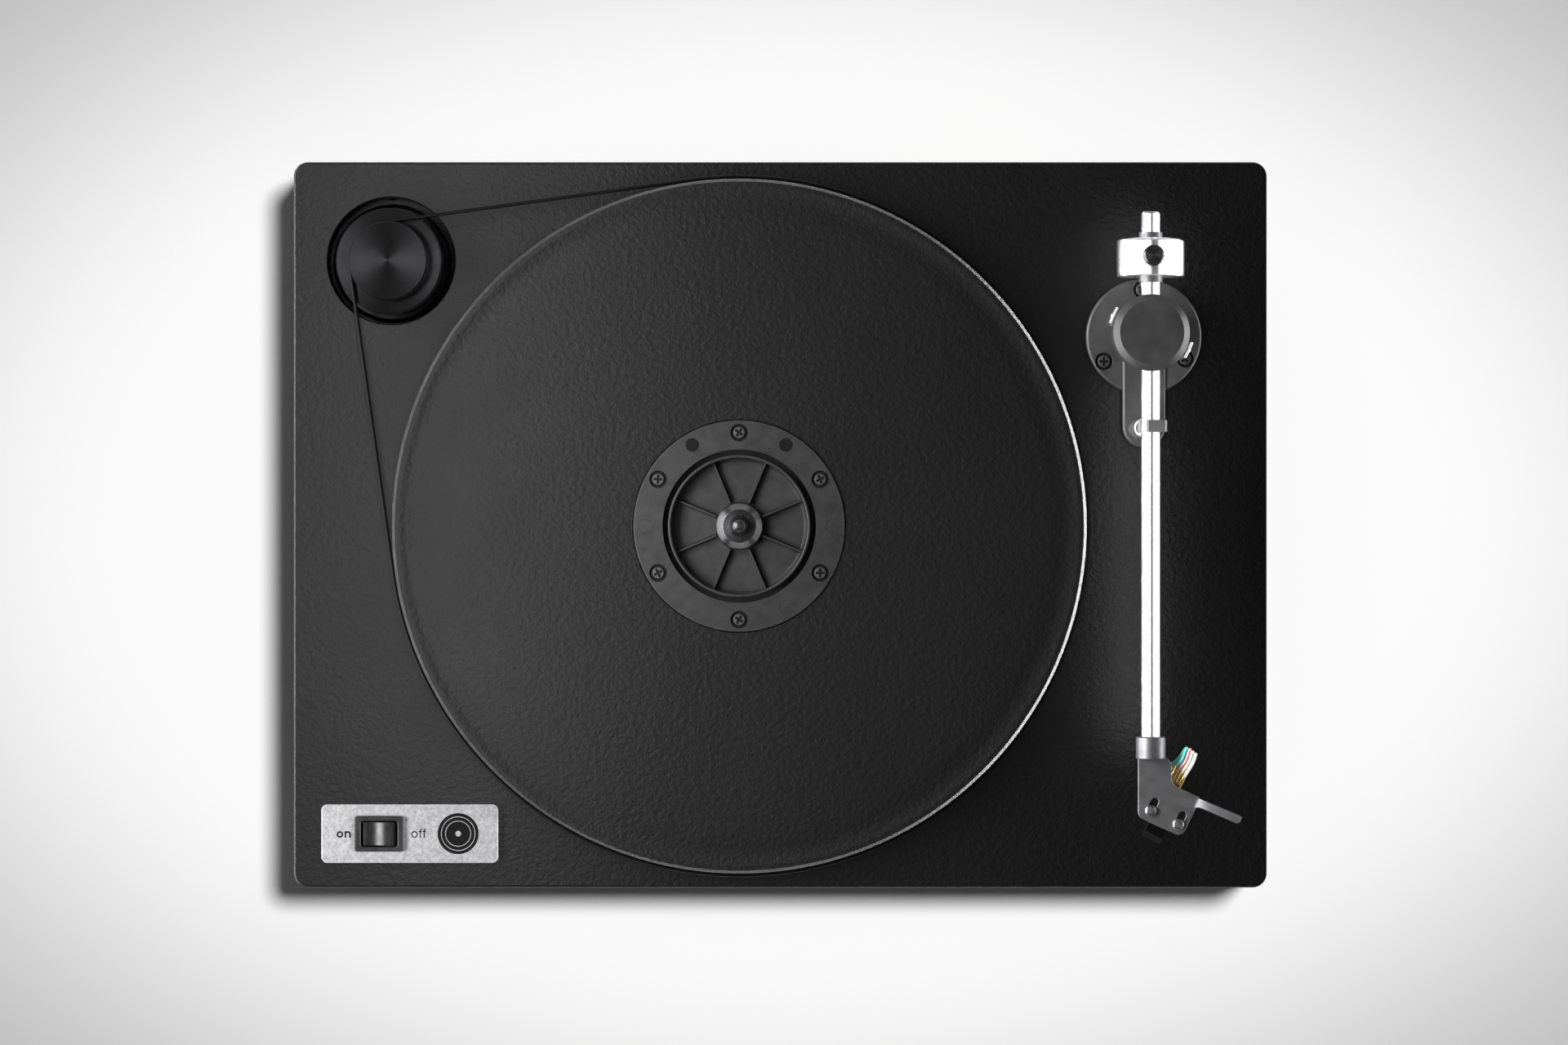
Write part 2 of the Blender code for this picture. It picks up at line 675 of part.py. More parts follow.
def make_platter():
    pivot = joint_empty("platter_pivot", (*SPINDLE, PLATTER_BOTTOM))
    lip = PLATTER_TOP + PLATTER_LIP
    profile = [
        (HUB_FLANGE_RADIUS + 0.4, PLATTER_TOP),
        (136.0, PLATTER_TOP),
        (141.0, PLATTER_TOP + 0.12),
        (144.3, lip),
        (145.4, lip - 0.3),
        (PLATTER_RADIUS, lip - 1.4),
        (PLATTER_RADIUS, PLATTER_BOTTOM + 0.6),
        (PLATTER_RADIUS - 0.6, PLATTER_BOTTOM),
        (HUB_BARREL_RADIUS + GAP, PLATTER_BOTTOM),
        (HUB_BARREL_RADIUS + GAP, lip - HUB_FLANGE_THICKNESS - GAP),
        (HUB_FLANGE_RADIUS + 0.4, lip - HUB_FLANGE_THICKNESS - GAP),
    ]
    local = [(r, z - PLATTER_BOTTOM) for r, z in profile]
    platter = turned(
        "platter", local, "black_paint", 72, (*SPINDLE, PLATTER_BOTTOM), parent=pivot
    )

    groove_inner, groove_outer = HUB_GROOVE
    ring_top = lip - 0.3
    profile = [
        (groove_outer, lip),
        (HUB_FLANGE_RADIUS - 0.4, lip),
        (HUB_FLANGE_RADIUS, lip - 0.4),
        (HUB_FLANGE_RADIUS, lip - HUB_FLANGE_THICKNESS),
        (HUB_BARREL_RADIUS, lip - HUB_FLANGE_THICKNESS),
        (HUB_BARREL_RADIUS, HUB_BOTTOM),
        (9.0, HUB_BOTTOM),
        (9.0, HUB_BOTTOM - 3.0),
        (SHAFT_RADIUS + GAP, HUB_BOTTOM - 3.0),
        (SHAFT_RADIUS + GAP, HUB_FLOOR),
        (HUB_RING_INNER, HUB_FLOOR),
        (HUB_RING_INNER, ring_top),
        (groove_inner, ring_top),
        (groove_inner, HUB_BOTTOM + 2.0),
        (groove_outer, HUB_BOTTOM + 2.0),
    ]
    local = [(r, z - PLATTER_BOTTOM) for r, z in profile]
    hub = turned(
        "platter_hub", local, "black_plastic", 36, (*SPINDLE, PLATTER_BOTTOM), parent=pivot
    )
    rib_low, rib_high = HUB_FLOOR - 0.5, HUB_FLOOR + 3.9
    rib_in, rib_out = BOSS_RADIUS + GAP + 0.2, HUB_RING_INNER + 0.6
    for number in range(HUB_RIBS):
        angle = 22.5 + 360.0 / HUB_RIBS * number
        place = around((rib_in + rib_out) / 2, angle, SPINDLE)
        mesh = box_mesh(f"rib_{number + 1}", (rib_out - rib_in, 1.5, rib_high - rib_low))
        rib = new_cutter(
            f"rib_{number + 1}", mesh, (*place, (rib_low + rib_high) / 2), (0.0, 0.0, angle)
        )
        join(hub, rib, "UNION")

    for number in range(HUB_SCREWS):
        angle = 30 + 360.0 / HUB_SCREWS * number
        place = around(HUB_SCREW_CIRCLE, angle, SPINDLE)
        cut_round(hub, f"hub_hole_{number + 1}", 1.7, 55.0, 66.0, place, 8)
        cut_round(hub, f"hub_recess_{number + 1}", 3.6, lip - 1.6, 66.0, place, 12)
        cut_round(platter, f"platter_hole_{number + 1}", 1.8, 51.0, 61.0, place, 8)
        profile = screw_profile(2.8, lip - 0.1, 1.2, 1.4, 51.6)
        turned(
            f"hub_screw_{number + 1}",
            [(r, z - PLATTER_BOTTOM) for r, z in profile],
            "dark_steel",
            12,
            (*place, PLATTER_BOTTOM),
            parent=pivot,
        )

    boss_top = lip - 0.4
    profile = [
        (0.0, SPINDLE_TIP),
        (2.0, SPINDLE_TIP - 0.3),
        (3.1, SPINDLE_TIP - 1.1),
        (RECORD_PIN_RADIUS, SPINDLE_TIP - 2.4),
        (RECORD_PIN_RADIUS, boss_top),
        (7.3, boss_top),
        (BOSS_RADIUS, boss_top - 2.4),
        (BOSS_RADIUS, HUB_FLOOR + GAP),
        (SHAFT_RADIUS, HUB_FLOOR + GAP),
        (SHAFT_RADIUS, SHAFT_END + 0.8),
        (SHAFT_RADIUS - 0.8, SHAFT_END),
        (0.0, SHAFT_END),
    ]
    local = [(r, z - PLATTER_BOTTOM) for r, z in profile]
    turned("spindle", local, "dark_steel", 20, (*SPINDLE, PLATTER_BOTTOM), parent=pivot)


def make_bearing():
    bush_inner = SHAFT_RADIUS + GAP
    bush_outer = 6.7
    bore = bush_outer + GAP
    outer = 9.3
    housing = [
        (0.0, 20.0),
        (2.8, 20.0),
        (2.8, 25.0),
        (bore, 25.0),
        (bore, 45.0),
        (outer, 45.0),
        (outer, 43.6),
        (16.0, 43.6),
        (16.0, PLINTH_TOP + GAP),
        (outer, PLINTH_TOP + GAP),
        (outer, 17.3),
        (0.0, 17.3),
    ]
    turned("bearing_housing", housing, "steel", 18, (*SPINDLE, 0.0))
    bush = [(bush_inner, 44.5), (bush_outer, 44.5), (bush_outer, 25.3), (bush_inner, 25.3)]
    turned("bearing_bush", bush, "brass", 18, (*SPINDLE, 0.0))
    ball = bpy.data.meshes.new("thrust_ball")
    solid = bmesh.new()
    bmesh.ops.create_uvsphere(solid, u_segments=12, v_segments=8, radius=2.4 * MM)
    solid.to_mesh(ball)
    solid.free()
    add_piece("thrust_ball", ball, "steel", (*SPINDLE, 22.8))
    nut = [arc(13.0, 0, 300, 6), arc(outer + GAP + 0.1, 0, 340, 18)]
    flat("bearing_nut", nut, 6.0, "steel", (*SPINDLE, 21.0))


def make_wiring():
    """Two-core lead from the sockets' board past the motor to the switch."""
    level = 20.2
    points = [
        (76.0, 131.0, 22.5),
        (76.0, 124.0, 21.0),
        (76.0, 111.0, level),
        (75.6, 105.0, level),
        (73.0, 101.2, level),
        (64.0, 100.0, level),
        (20.0, 100.0, level),
        (-20.0, 100.0, level),
        (-60.0, 100.0, level),
        (-100.0, 100.0, level),
        (-124.0, 100.0, level + 0.5),
        (-133.0, 98.0, 21.6),
        (-142.0, 90.0, 22.0),
        (-152.0, 83.0, 22.0),
        (-163.5, 79.5, 21.6),
        (-168.6, 75.0, level),
        (-170.0, 66.0, level),
        (-170.0, 30.0, level),
        (-170.0, -10.0, level),
        (-170.0, -50.0, level),
        (-170.0, -90.0, level),
        (-170.0, -118.0, level),
        (-170.0, -128.0, 21.5),
    ]
    wire("power_wiring", smooth_path(points, 2), 1.5, "black_wire", resolution=1)


# ----------------------------------------------------------------- tonearm
def make_arm_base():
    start = math.degrees(math.asin(ARM_TONGUE / ARM_BASE_RADIUS)) - 90
    disc = arc(ARM_BASE_RADIUS, start, 180 - start, 27)
    end = arc(ARM_TONGUE, 180, 360, 11, (0.0, ARM_TONGUE - ARM_TONGUE_REACH))
    bottom = PLINTH_TOP + GAP
    top = bottom + 4.0
    base = as_mesh(
        flat(
            "arm_base",
            [disc + end],
            4.0,
            "black_plastic",
            (*ARM, (bottom + top) / 2),
            edge=0.7,
        )
    )
    mesh = drum_mesh("pillar", 10.5, 72.0 - top + 1.0, 24)
    join(base, new_cutter("pillar", mesh, (*ARM, (72.0 + top - 1.0) / 2)), "UNION")
    cut_round(base, "pillar_bore", 6.4, 40.0, 73.0, ARM, 16)
    half, rise = ARM_TONGUE, ARM_TONGUE_RISE
    tongue = [(-half, -10.0)] + end + [(half, -10.0)]
    middle = (*ARM, top + rise / 2 - 0.5)
    mesh = prism_mesh("tongue", tongue, rise + 1.0)
    join(base, new_cutter("tongue", mesh, middle), "UNION")
    for number, angle in enumerate(ARM_BASE_SCREWS, 1):
        place = around(19.9, angle, ARM)
        cut_round(base, f"base_hole_{number}", 1.8, 40.0, 47.0, place, 12)
        cut_round(base, f"base_recess_{number}", 3.7, top - 1.6, 47.0, place, 16)
        profile = screw_profile(2.9, top - 0.1, 1.2, 1.5, 30.6)
        turned(f"arm_base_screw_{number}", profile, "dark_steel", 12, (*place, 0.0))

    rest = arm_point(-2.4, -39.3)
    post = [
        (0.0, 79.0),
        (3.5, 79.0),
        (4.0, 78.5),
        (4.0, top + rise + GAP),
        (0.0, top + rise + GAP),
    ]
    turned("arm_rest_post", post, "polished", 16, (*rest, 0.0))
    # Seen from the front: a saddle under the tube, a wall on its right and a lip over it.
    inside = TUBE_RADIUS + GAP
    clip = [(-4.6, -6.6), (4.9, -6.6), (6.2, -5.3), (6.2, 9.6), (4.9, 10.9), (0.4, 10.9)]
    clip += [(-0.4, 10.1), (-0.4, 9.3), (0.2, 8.8), (3.5, 8.8), (inside, 8.0)]
    clip += arc(inside, 0, -90, 7) + [(-4.0, -inside), (-4.6, -inside - 0.6)]
    flat(
        "arm_clip",
        [clip],
        5.0,
        "black_plastic",
        (*arm_point(0.0, -38.8), ARM_AXIS_HEIGHT),
        (90.0, 0.0, 0.0),
    )


def make_yoke(yaw):
    post = [
        (0.0, 74.2),
        (8.6, 74.2),
        (9.0, 73.8),
        (9.0, 72.3),
        (6.1, 72.3),
        (6.1, 43.0),
        (5.4, 42.3),
        (0.0, 42.3),
    ]
    turned("arm_post", post, "steel", 16, (*ARM, 0.0), parent=yaw)
    inner = CAP_RADIUS + GAP
    outer = inner + 1.4
    strip = 74.5 - ARM_AXIS_HEIGHT
    ear = 90.0 - ARM_AXIS_HEIGHT
    outline = [
        (-outer, ear),
        (-outer, strip + 1.0),
        (-outer + 1.0, strip),
        (outer - 1.0, strip),
        (outer, strip + 1.0),
        (outer, ear),
        (inner, ear),
        (inner, strip + 1.4),
        (-inner, strip + 1.4),
        (-inner, ear),
    ]
    centre = (*ARM, ARM_AXIS_HEIGHT)
    yoke = as_mesh(
        flat("arm_yoke", [outline], 7.2, "steel", centre, (90.0, 0.0, PITCH_AXIS), parent=yaw)
    )
    hole = drum_mesh("ear_holes", 1.5, 2 * outer + 2, 12)
    join(yoke, new_cutter("ear_holes", hole, centre, (90.0, 0.0, PITCH_AXIS - 90)))
    for number, side in enumerate((1, -1), 1):
        place = around(side * 13.6, PITCH_AXIS, ARM)
        pin = [(0.0, 4.6), (0.9, 4.6), (1.2, 4.3), (1.2, -4.6), (0.0, -4.6)]
        turned(
            f"pivot_pin_{number}",
            pin,
            "steel",
            12,
            (*place, ARM_AXIS_HEIGHT),
            (0.0, side * 90.0, PITCH_AXIS),
            parent=yaw,
        )


def make_arm(pitch):
    centre = (*ARM, ARM_AXIS_HEIGHT)
    cap = [
        (0.0, 8.0),
        (CAP_TOP_RADIUS, 8.0),
        (CAP_RADIUS - 0.2, 5.9),
        (CAP_RADIUS, 5.5),
        (CAP_RADIUS, -6.4),
        (CAP_RADIUS - 0.6, -7.0),
        (0.0, -7.0),
    ]
    housing = turned("pivot_housing", cap, "black_plastic", 32, centre, parent=pitch)
    bore = drum_mesh("tube_bore", TUBE_RADIUS + GAP, 40.0, 20)
    join(housing, new_cutter("tube_bore", bore, centre, (90.0, 0.0, 0.0)))
    for number, side in enumerate((1, -1), 1):
        mesh = drum_mesh(f"pin_bore_{number}", 1.5, 10.0, 12)
        place = (*around(side * 13.7, PITCH_AXIS, ARM), ARM_AXIS_HEIGHT)
        cutter = new_cutter(f"pin_bore_{number}", mesh, place, (90.0, 0.0, PITCH_AXIS - 90))
        join(housing, cutter)

    along = (-90.0, 0.0, 0.0)
    inner = TUBE_RADIUS - 0.8
    tube = [
        (inner, TUBE_BACK),
        (TUBE_RADIUS - 0.4, TUBE_BACK),
        (TUBE_RADIUS, TUBE_BACK - 0.6),
        (TUBE_RADIUS, TUBE_FRONT),
        (inner, TUBE_FRONT),
    ]
    turned("arm_tube", tube, "polished", 20, centre, along, parent=pitch)
    make_headshell(pitch, centre, along)


def make_headshell(pitch, centre, along):
    back, front, radius = COLLAR
    outline = [
        (-5.3, front + 2.0),
        (5.4, front + 2.0),
        (7.4, front + 0.2),
        (8.7, -179.4),
        (8.7, -185.7),
        (9.6, -187.8),
        (12.7, -189.6),
        (20.3, -193.1),
        (18.3, -198.4),
        (14.4, -206.5),
        (13.2, -208.2),
        (11.3, -208.7),
        (1.7, -204.5),
        (-3.7, -201.9),
        (-4.8, -200.9),
        (-5.3, -199.5),
    ]
    slots = []
    turn = math.radians(OFFSET)
    for side in (-1, 1):
        across = side * CARTRIDGE_SCREW_SPACING / 2
        x = CARTRIDGE[0] + across * math.cos(turn)
        y = CARTRIDGE[1] - across * math.sin(turn)
        end = (x + SLOT_LENGTH * math.sin(turn), y + SLOT_LENGTH * math.cos(turn))
        slots.append(slot((x, y), end, 1.5))
    shell = as_mesh(
        flat(
            "headshell",
            [outline, *slots],
            2.4,
            "grey_alloy",
            (*ARM, ARM_AXIS_HEIGHT - 0.3),
            parent=pitch,
        )
    )
    collar = drum_mesh("collar", radius, back - front, 24)
    middle = (*arm_point(0.0, (back + front) / 2), ARM_AXIS_HEIGHT)
    join(shell, new_cutter("collar", collar, middle, (90.0, 0.0, 0.0)), "UNION")
    bore = drum_mesh("collar_bore", TUBE_RADIUS + GAP, 10.0, 20)
    middle = (*arm_point(0.0, TUBE_FRONT - GAP + 5.0), ARM_AXIS_HEIGHT)
    join(shell, new_cutter("collar_bore", bore, middle, (90.0, 0.0, 0.0)))
    # The finger lift is a tab of the same plate, bent up a little.
    lift = prism_mesh("finger_lift", LIFT_OUTLINE, 1.2)
    middle = (*arm_point(27.4, -198.4), ARM_AXIS_HEIGHT + 2.3)
    join(shell, new_cutter("finger_lift", lift, middle, (0.0, -14.0, -23.0)), "UNION")


def make_cartridge(pitch):
    plate_bottom = ARM_AXIS_HEIGHT - 1.5
    body_top = plate_bottom - GAP
    body_bottom = 74.6
    place = cartridge_point(0.0, 4.25)
    body = block(
        "cartridge_body",
        (16.6, 15.5, body_top - body_bottom),
        "gloss_black",
        (*place, (body_top + body_bottom) / 2),
        (0.0, 0.0, -OFFSET),
        edge=0.5,
        parent=pitch,
    )
    for number, side in enumerate((-1, 1), 1):
        place = cartridge_point(side * CARTRIDGE_SCREW_SPACING / 2, 0.0)
        cut_round(body, f"cartridge_hole_{number}", 1.5, 78.4, 85.0, place, 12)
        head_top = ARM_AXIS_HEIGHT + 0.9 + GAP + 1.6
        profile = screw_profile(2.4, head_top, 1.6, 1.2, 78.9)
        turned(
            f"cartridge_screw_{number}",
            [(r, z - ARM_AXIS_HEIGHT) for r, z in profile],
            "polished",
            14,
            (*place, ARM_AXIS_HEIGHT),
            parent=pitch,
        )
    # The holder is drawn from the side: distance behind the screw line and height.
    outline = [
        (9.0, 69.4),
        (9.0, 74.2),
        (-4.0, 74.2),
        (-4.0, 79.2),
        (-8.6, 77.0),
        (-11.1, 73.4),
        (-11.1, 70.6),
        (-6.5, 68.8),
    ]
    holder = [(back, z - ARM_AXIS_HEIGHT) for back, z in outline]
    flat(
        "stylus_holder",
        [holder],
        8.4,
        "gloss_black",
        (*cartridge_point(0.0, 0.0), ARM_AXIS_HEIGHT),
        (90.0, 0.0, 90.0 - OFFSET),
        parent=pitch,
    )
    cantilever = [
        (*cartridge_point(0.0, -2.0), 68.0),
        (*cartridge_point(0.0, -9.0), 67.0),
        (*cartridge_point(0.0, -9.5), 65.9),
    ]
    wire("cantilever", cantilever, 0.3, "steel", parent=pitch)
    leads = [
        (*arm_point(11.6, -190.7), 79.6),
        (*arm_point(14.6, -186.0), 79.8),
        (*arm_point(17.6, -180.0), 81.5),
        (*arm_point(16.6, -175.0), 83.8),
        (*arm_point(12.6, -175.6), 83.8),
        (*arm_point(9.4, -179.6), 82.0),
        (*arm_point(5.0, -181.8), 81.0),
        (*arm_point(1.6, -181.4), 81.6),
    ]
    wire("cartridge_leads", smooth_path(leads, 2), 1.5, "white_wire", parent=pitch)


def make_counterweight(slide, knob):
    centre = (*ARM, ARM_AXIS_HEIGHT)
    along = (-90.0, 0.0, 0.0)
    back = WEIGHT_BACK + WEIGHT_LENGTH / 2
    front = WEIGHT_BACK - WEIGHT_LENGTH / 2
    sleeve_outer = 4.9
    bore = sleeve_outer + GAP
    profile = [
        (bore, back),
        (WEIGHT_RADIUS - 5.0, back),
        (WEIGHT_RADIUS - 1.8, back - 0.8),
        (WEIGHT_RADIUS, back - 2.4),
        (WEIGHT_RADIUS, front + 0.5),
        (WEIGHT_RADIUS - 0.5, front),
        (bore, front),
    ]
    weight = turned("counterweight", profile, "polished", 28, centre, along, parent=slide)
    place = arm_point(0.0, WEIGHT_BACK)
    cut_round(weight, "thumb_screw_hole", 1.8, 88.0, 102.0, place, 12)
    sleeve = [
        (TUBE_RADIUS + GAP, back + 2.4),
        (sleeve_outer, back + 2.4),
        (sleeve_outer, front - 2.4),
        (TUBE_RADIUS + GAP, front - 2.4),
    ]
    turned("counterweight_sleeve", sleeve, "grey_alloy", 20, centre, along, parent=slide)
    top = ARM_AXIS_HEIGHT + WEIGHT_RADIUS
    profile = [
        (0.0, top + 6.2),
        (3.7, top + 6.2),
        (4.3, top + 5.6),
        (4.3, top + 1.0),
        (3.7, top + 0.5),
        (1.5, top + 0.5),
        (1.5, 91.4),
        (0.0, 91.4),
    ]
    local = [(r, z - top) for r, z in profile]
    turned("thumb_screw", local, "black_anodised", 16, (*place, top), parent=knob)


def make_tonearm():
    make_arm_base()
    yaw = joint_empty("arm_yaw", (*ARM, ARM_AXIS_HEIGHT))
    pitch = joint_empty("arm_pitch", (*ARM, ARM_AXIS_HEIGHT), yaw)
    weight_place = (*arm_point(0.0, WEIGHT_BACK), ARM_AXIS_HEIGHT)
    slide = joint_empty("counterweight_slide", weight_place, pitch)
    knob = joint_empty("thumb_screw_turn", weight_place, slide)
    make_yoke(yaw)
    make_arm(pitch)
    make_cartridge(pitch)
    make_counterweight(slide, knob)


clear_scene()
parts = new_collection("turntable_record_player")
cutters = new_collection("cutters")
make_plinth()
make_feet()
make_sockets()
make_switch()
make_motor()
make_belt()
make_platter()
make_bearing()
make_wiring()
make_tonearm()
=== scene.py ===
"""The record player's looks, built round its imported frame.

Helpers take millimetres and degrees in the frame's own axes: +X right, +Y back
and +Z up. Each detailed piece stands for a CAD node: it takes its place from
that node's box, rides on its body and keeps inside the solid's outer size.
"""

import json
import math

import bmesh
import bpy
from mathutils import Matrix, Vector

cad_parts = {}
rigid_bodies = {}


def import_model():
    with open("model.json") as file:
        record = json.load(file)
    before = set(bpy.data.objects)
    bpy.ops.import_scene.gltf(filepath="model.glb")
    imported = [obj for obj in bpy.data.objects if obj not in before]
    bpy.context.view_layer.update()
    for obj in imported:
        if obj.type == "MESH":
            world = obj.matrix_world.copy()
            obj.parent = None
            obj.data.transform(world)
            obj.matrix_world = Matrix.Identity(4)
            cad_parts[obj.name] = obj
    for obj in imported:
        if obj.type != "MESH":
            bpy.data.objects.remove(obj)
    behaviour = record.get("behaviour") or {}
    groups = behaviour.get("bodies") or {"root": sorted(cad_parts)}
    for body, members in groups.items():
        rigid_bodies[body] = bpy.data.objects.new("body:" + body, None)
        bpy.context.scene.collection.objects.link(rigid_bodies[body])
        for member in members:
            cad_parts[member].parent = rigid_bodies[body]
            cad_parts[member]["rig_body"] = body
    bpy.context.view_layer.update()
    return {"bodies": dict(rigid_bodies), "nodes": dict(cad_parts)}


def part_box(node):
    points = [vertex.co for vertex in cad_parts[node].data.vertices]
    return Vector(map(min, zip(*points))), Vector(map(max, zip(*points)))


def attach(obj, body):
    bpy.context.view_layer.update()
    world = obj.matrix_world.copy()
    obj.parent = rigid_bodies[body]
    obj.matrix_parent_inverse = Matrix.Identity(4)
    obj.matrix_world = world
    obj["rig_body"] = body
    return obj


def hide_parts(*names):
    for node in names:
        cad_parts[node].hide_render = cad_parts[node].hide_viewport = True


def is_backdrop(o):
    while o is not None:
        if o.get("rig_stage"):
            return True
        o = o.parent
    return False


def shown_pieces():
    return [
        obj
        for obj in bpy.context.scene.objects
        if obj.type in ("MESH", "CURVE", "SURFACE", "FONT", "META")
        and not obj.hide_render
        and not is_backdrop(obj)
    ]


MM = 0.001
LEVEL = (0.0, 0.0, 0.0)
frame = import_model()
scene = bpy.context.scene


# ---- helpers
def mm(*values):
    return Vector(values) * MM


def spot(node):
    """Lowest corner, highest corner and middle of a CAD node."""
    low, high = (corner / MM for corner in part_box(node))
    return low, high, (low + high) / 2


def around(radius, angle, centre=(0.0, 0.0)):
    turn = math.radians(angle)
    return (centre[0] + radius * math.cos(turn), centre[1] + radius * math.sin(turn))


def arc(radius, start, end, count, centre=(0.0, 0.0)):
    """Points of an arc, both ends included."""
    step = (end - start) / (count - 1)
    return [around(radius, start + step * i, centre) for i in range(count)]


def circle(radius, centre=(0.0, 0.0), count=64):
    return arc(radius, 0, 360 - 360 / count, count, centre)


def rounded(points, closed=False, steps=5):
    """Rounds each corner that is given as (x, y, radius)."""
    out = []
    for i, point in enumerate(points):
        here = Vector(point[:2])
        if len(point) < 3 or (not closed and i in (0, len(points) - 1)):
            out.append(tuple(here))
            continue
        back = Vector(points[i - 1][:2]) - here
        on = Vector(points[(i + 1) % len(points)][:2]) - here
        half = back.angle(on) / 2
        reach = min(point[2] / math.tan(half), back.length * 0.49, on.length * 0.49)
        start, end = here + back.normalized() * reach, here + on.normalized() * reach
        for k in range(steps + 1):
            t = k / steps
            a, b, c = (1 - t) ** 2, 2 * t * (1 - t) * math.sin(half), t * t
            out.append(tuple((start * a + here * b + end * c) / (a + b + c)))
    return out


def soft_box(width, depth, radius, centre=(0.0, 0.0)):
    x, y = centre
    corners = [(1, 1), (-1, 1), (-1, -1), (1, -1)]
    return rounded([(x + sx * width / 2, y + sy * depth / 2, radius) for sx, sy in corners], True, 8)


def place(piece, at, turn=LEVEL):
    piece.location = mm(*at)
    piece.rotation_euler = [math.radians(angle) for angle in turn]
    bpy.context.view_layer.update()
    return piece


def smooth(piece, angle=38.0):
    """Rounds the shading over gentle edges and keeps the large faces flat."""
    piece.data.shade_smooth()
    piece.data.set_sharp_from_angle(angle=math.radians(angle))
    normals = piece.modifiers.new("Normals", "WEIGHTED_NORMAL")
    normals.keep_sharp = True
    return piece


def clean(mesh, weld=False):
    """Turns all faces outwards, and joins points that fall together."""
    solid = bmesh.new()
    solid.from_mesh(mesh)
    if weld:
        bmesh.ops.remove_doubles(solid, verts=solid.verts, dist=0.000002)
    bmesh.ops.recalc_face_normals(solid, faces=solid.faces)
    solid.to_mesh(mesh)
    solid.free()


def baked(piece):
    """Applies a piece's modifiers, and makes a curve a welded mesh."""
    graph = bpy.context.evaluated_depsgraph_get()
    mesh = bpy.data.meshes.new_from_object(piece.evaluated_get(graph))
    clean(mesh, weld=True)
    if piece.type == "MESH":
        piece.modifiers.clear()
        piece.data = mesh
        return piece
    made = bpy.data.objects.new(piece.name + "_m", mesh)
    scene.collection.objects.link(made)
    made.matrix_world = piece.matrix_world.copy()
    bpy.data.objects.remove(piece, do_unlink=True)
    return made


def new_piece(name, points, faces, look, at, turn=LEVEL):
    mesh = bpy.data.meshes.new(name)
    mesh.from_pydata([mm(*point) for point in points], [], faces)
    clean(mesh)
    piece = bpy.data.objects.new(name, mesh)
    scene.collection.objects.link(piece)
    if look:
        mesh.materials.append(look)
    return place(piece, at, turn)


def lathe(name, profile, look, at, turn=LEVEL, steps=96):
    """A turned piece from (radius, height[, rounding]) points, down its outside."""
    outline = rounded(profile)
    points, rows, faces = [], [], []
    for radius, height in outline:
        if radius < 1e-4:
            rows.append([len(points)] * steps)
            points.append((0.0, 0.0, height))
            continue
        rows.append(list(range(len(points), len(points) + steps)))
        points += [(*around(radius, 360 * k / steps), height) for k in range(steps)]
    pairs = list(zip(rows, rows[1:]))
    if outline[0][0] > 1e-4:
        pairs.append((rows[-1], rows[0]))
    for upper, lower in pairs:
        for k in range(steps):
            m = (k + 1) % steps
            face = list(dict.fromkeys((upper[k], lower[k], lower[m], upper[m])))
            if len(face) > 2:
                faces.append(face)
    return new_piece(name, points, faces, look, at, turn)


def from_curve(curve, look, at=LEVEL, turn=LEVEL):
    name = curve.name
    piece = bpy.data.objects.new(name, curve)
    scene.collection.objects.link(piece)
    piece = baked(place(piece, at, turn))
    piece.name = name
    piece.data.materials.clear()
    if look:
        piece.data.materials.append(look)
    return piece


def plate(name, outer, holes, thickness, look, at, turn=LEVEL, edge=0.0, steps=2):
    """A plate cut to an outline, with holes and rounded edges, centred on its plane."""
    curve = bpy.data.curves.new(name, "CURVE")
    curve.dimensions = "2D"
    curve.fill_mode = "BOTH"
    curve.extrude = (thickness / 2 - edge) * MM
    curve.bevel_depth = edge * MM
    curve.bevel_resolution = steps
    curve.offset = -edge * MM
    for index, outline in enumerate([outer, *holes]):
        area = sum(
            a[0] * b[1] - b[0] * a[1] for a, b in zip(outline, outline[1:] + outline[:1])
        )
        if (area > 0) == (index > 0):
            outline = outline[::-1]
        spline = curve.splines.new("POLY")
        spline.points.add(len(outline) - 1)
        for point, (x, y) in zip(spline.points, outline):
            point.co = (x * MM, y * MM, 0.0, 1.0)
        spline.use_cyclic_u = True
    return from_curve(curve, look, at, turn)


SQUARE = ((-1, -1), (1, -1), (1, 1), (-1, 1))
BOX_FACES = [(0, 1, 2, 3), (4, 5, 6, 7), (0, 1, 5, 4), (1, 2, 6, 5), (2, 3, 7, 6), (3, 0, 4, 7)]


def block(name, low, high):
    """A box by its corners, to cut or add."""
    half = [(b - a) / 2 for a, b in zip(low, high)]
    middle = [(b + a) / 2 for a, b in zip(low, high)]
    points = [(x * half[0], y * half[1], z * half[2]) for z in (-1, 1) for x, y in SQUARE]
    return new_piece(name, points, BOX_FACES, None, middle)


def tube(name, points, radius, look, closed=False, sides=3):
    """A round wire through these points."""
    curve = bpy.data.curves.new(name, "CURVE")
    curve.dimensions = "3D"
    curve.bevel_depth = radius * MM
    curve.bevel_resolution = sides
    curve.use_fill_caps = not closed
    spline = curve.splines.new("POLY")
    spline.points.add(len(points) - 1)
    for point, where in zip(spline.points, points):
        point.co = (*mm(*where), 1.0)
    spline.use_cyclic_u = closed
    return smooth(from_curve(curve, look), 60)


def smooth_path(points, per_span=6):
    """Points of a smooth curve through the given points."""
    path = []
    for i in range(len(points) - 1):
        a, b, c, d = (
            Vector(points[min(max(j, 0), len(points) - 1)]) for j in range(i - 1, i + 3)
        )
        for k in range(per_span):
            t = k / per_span
            path.append(
                (2 * b + (c - a) * t + (2 * a - 5 * b + 4 * c - d) * t**2
                 + (3 * b - a - 3 * c + d) * t**3) / 2
            )
    return path + [Vector(points[-1])]


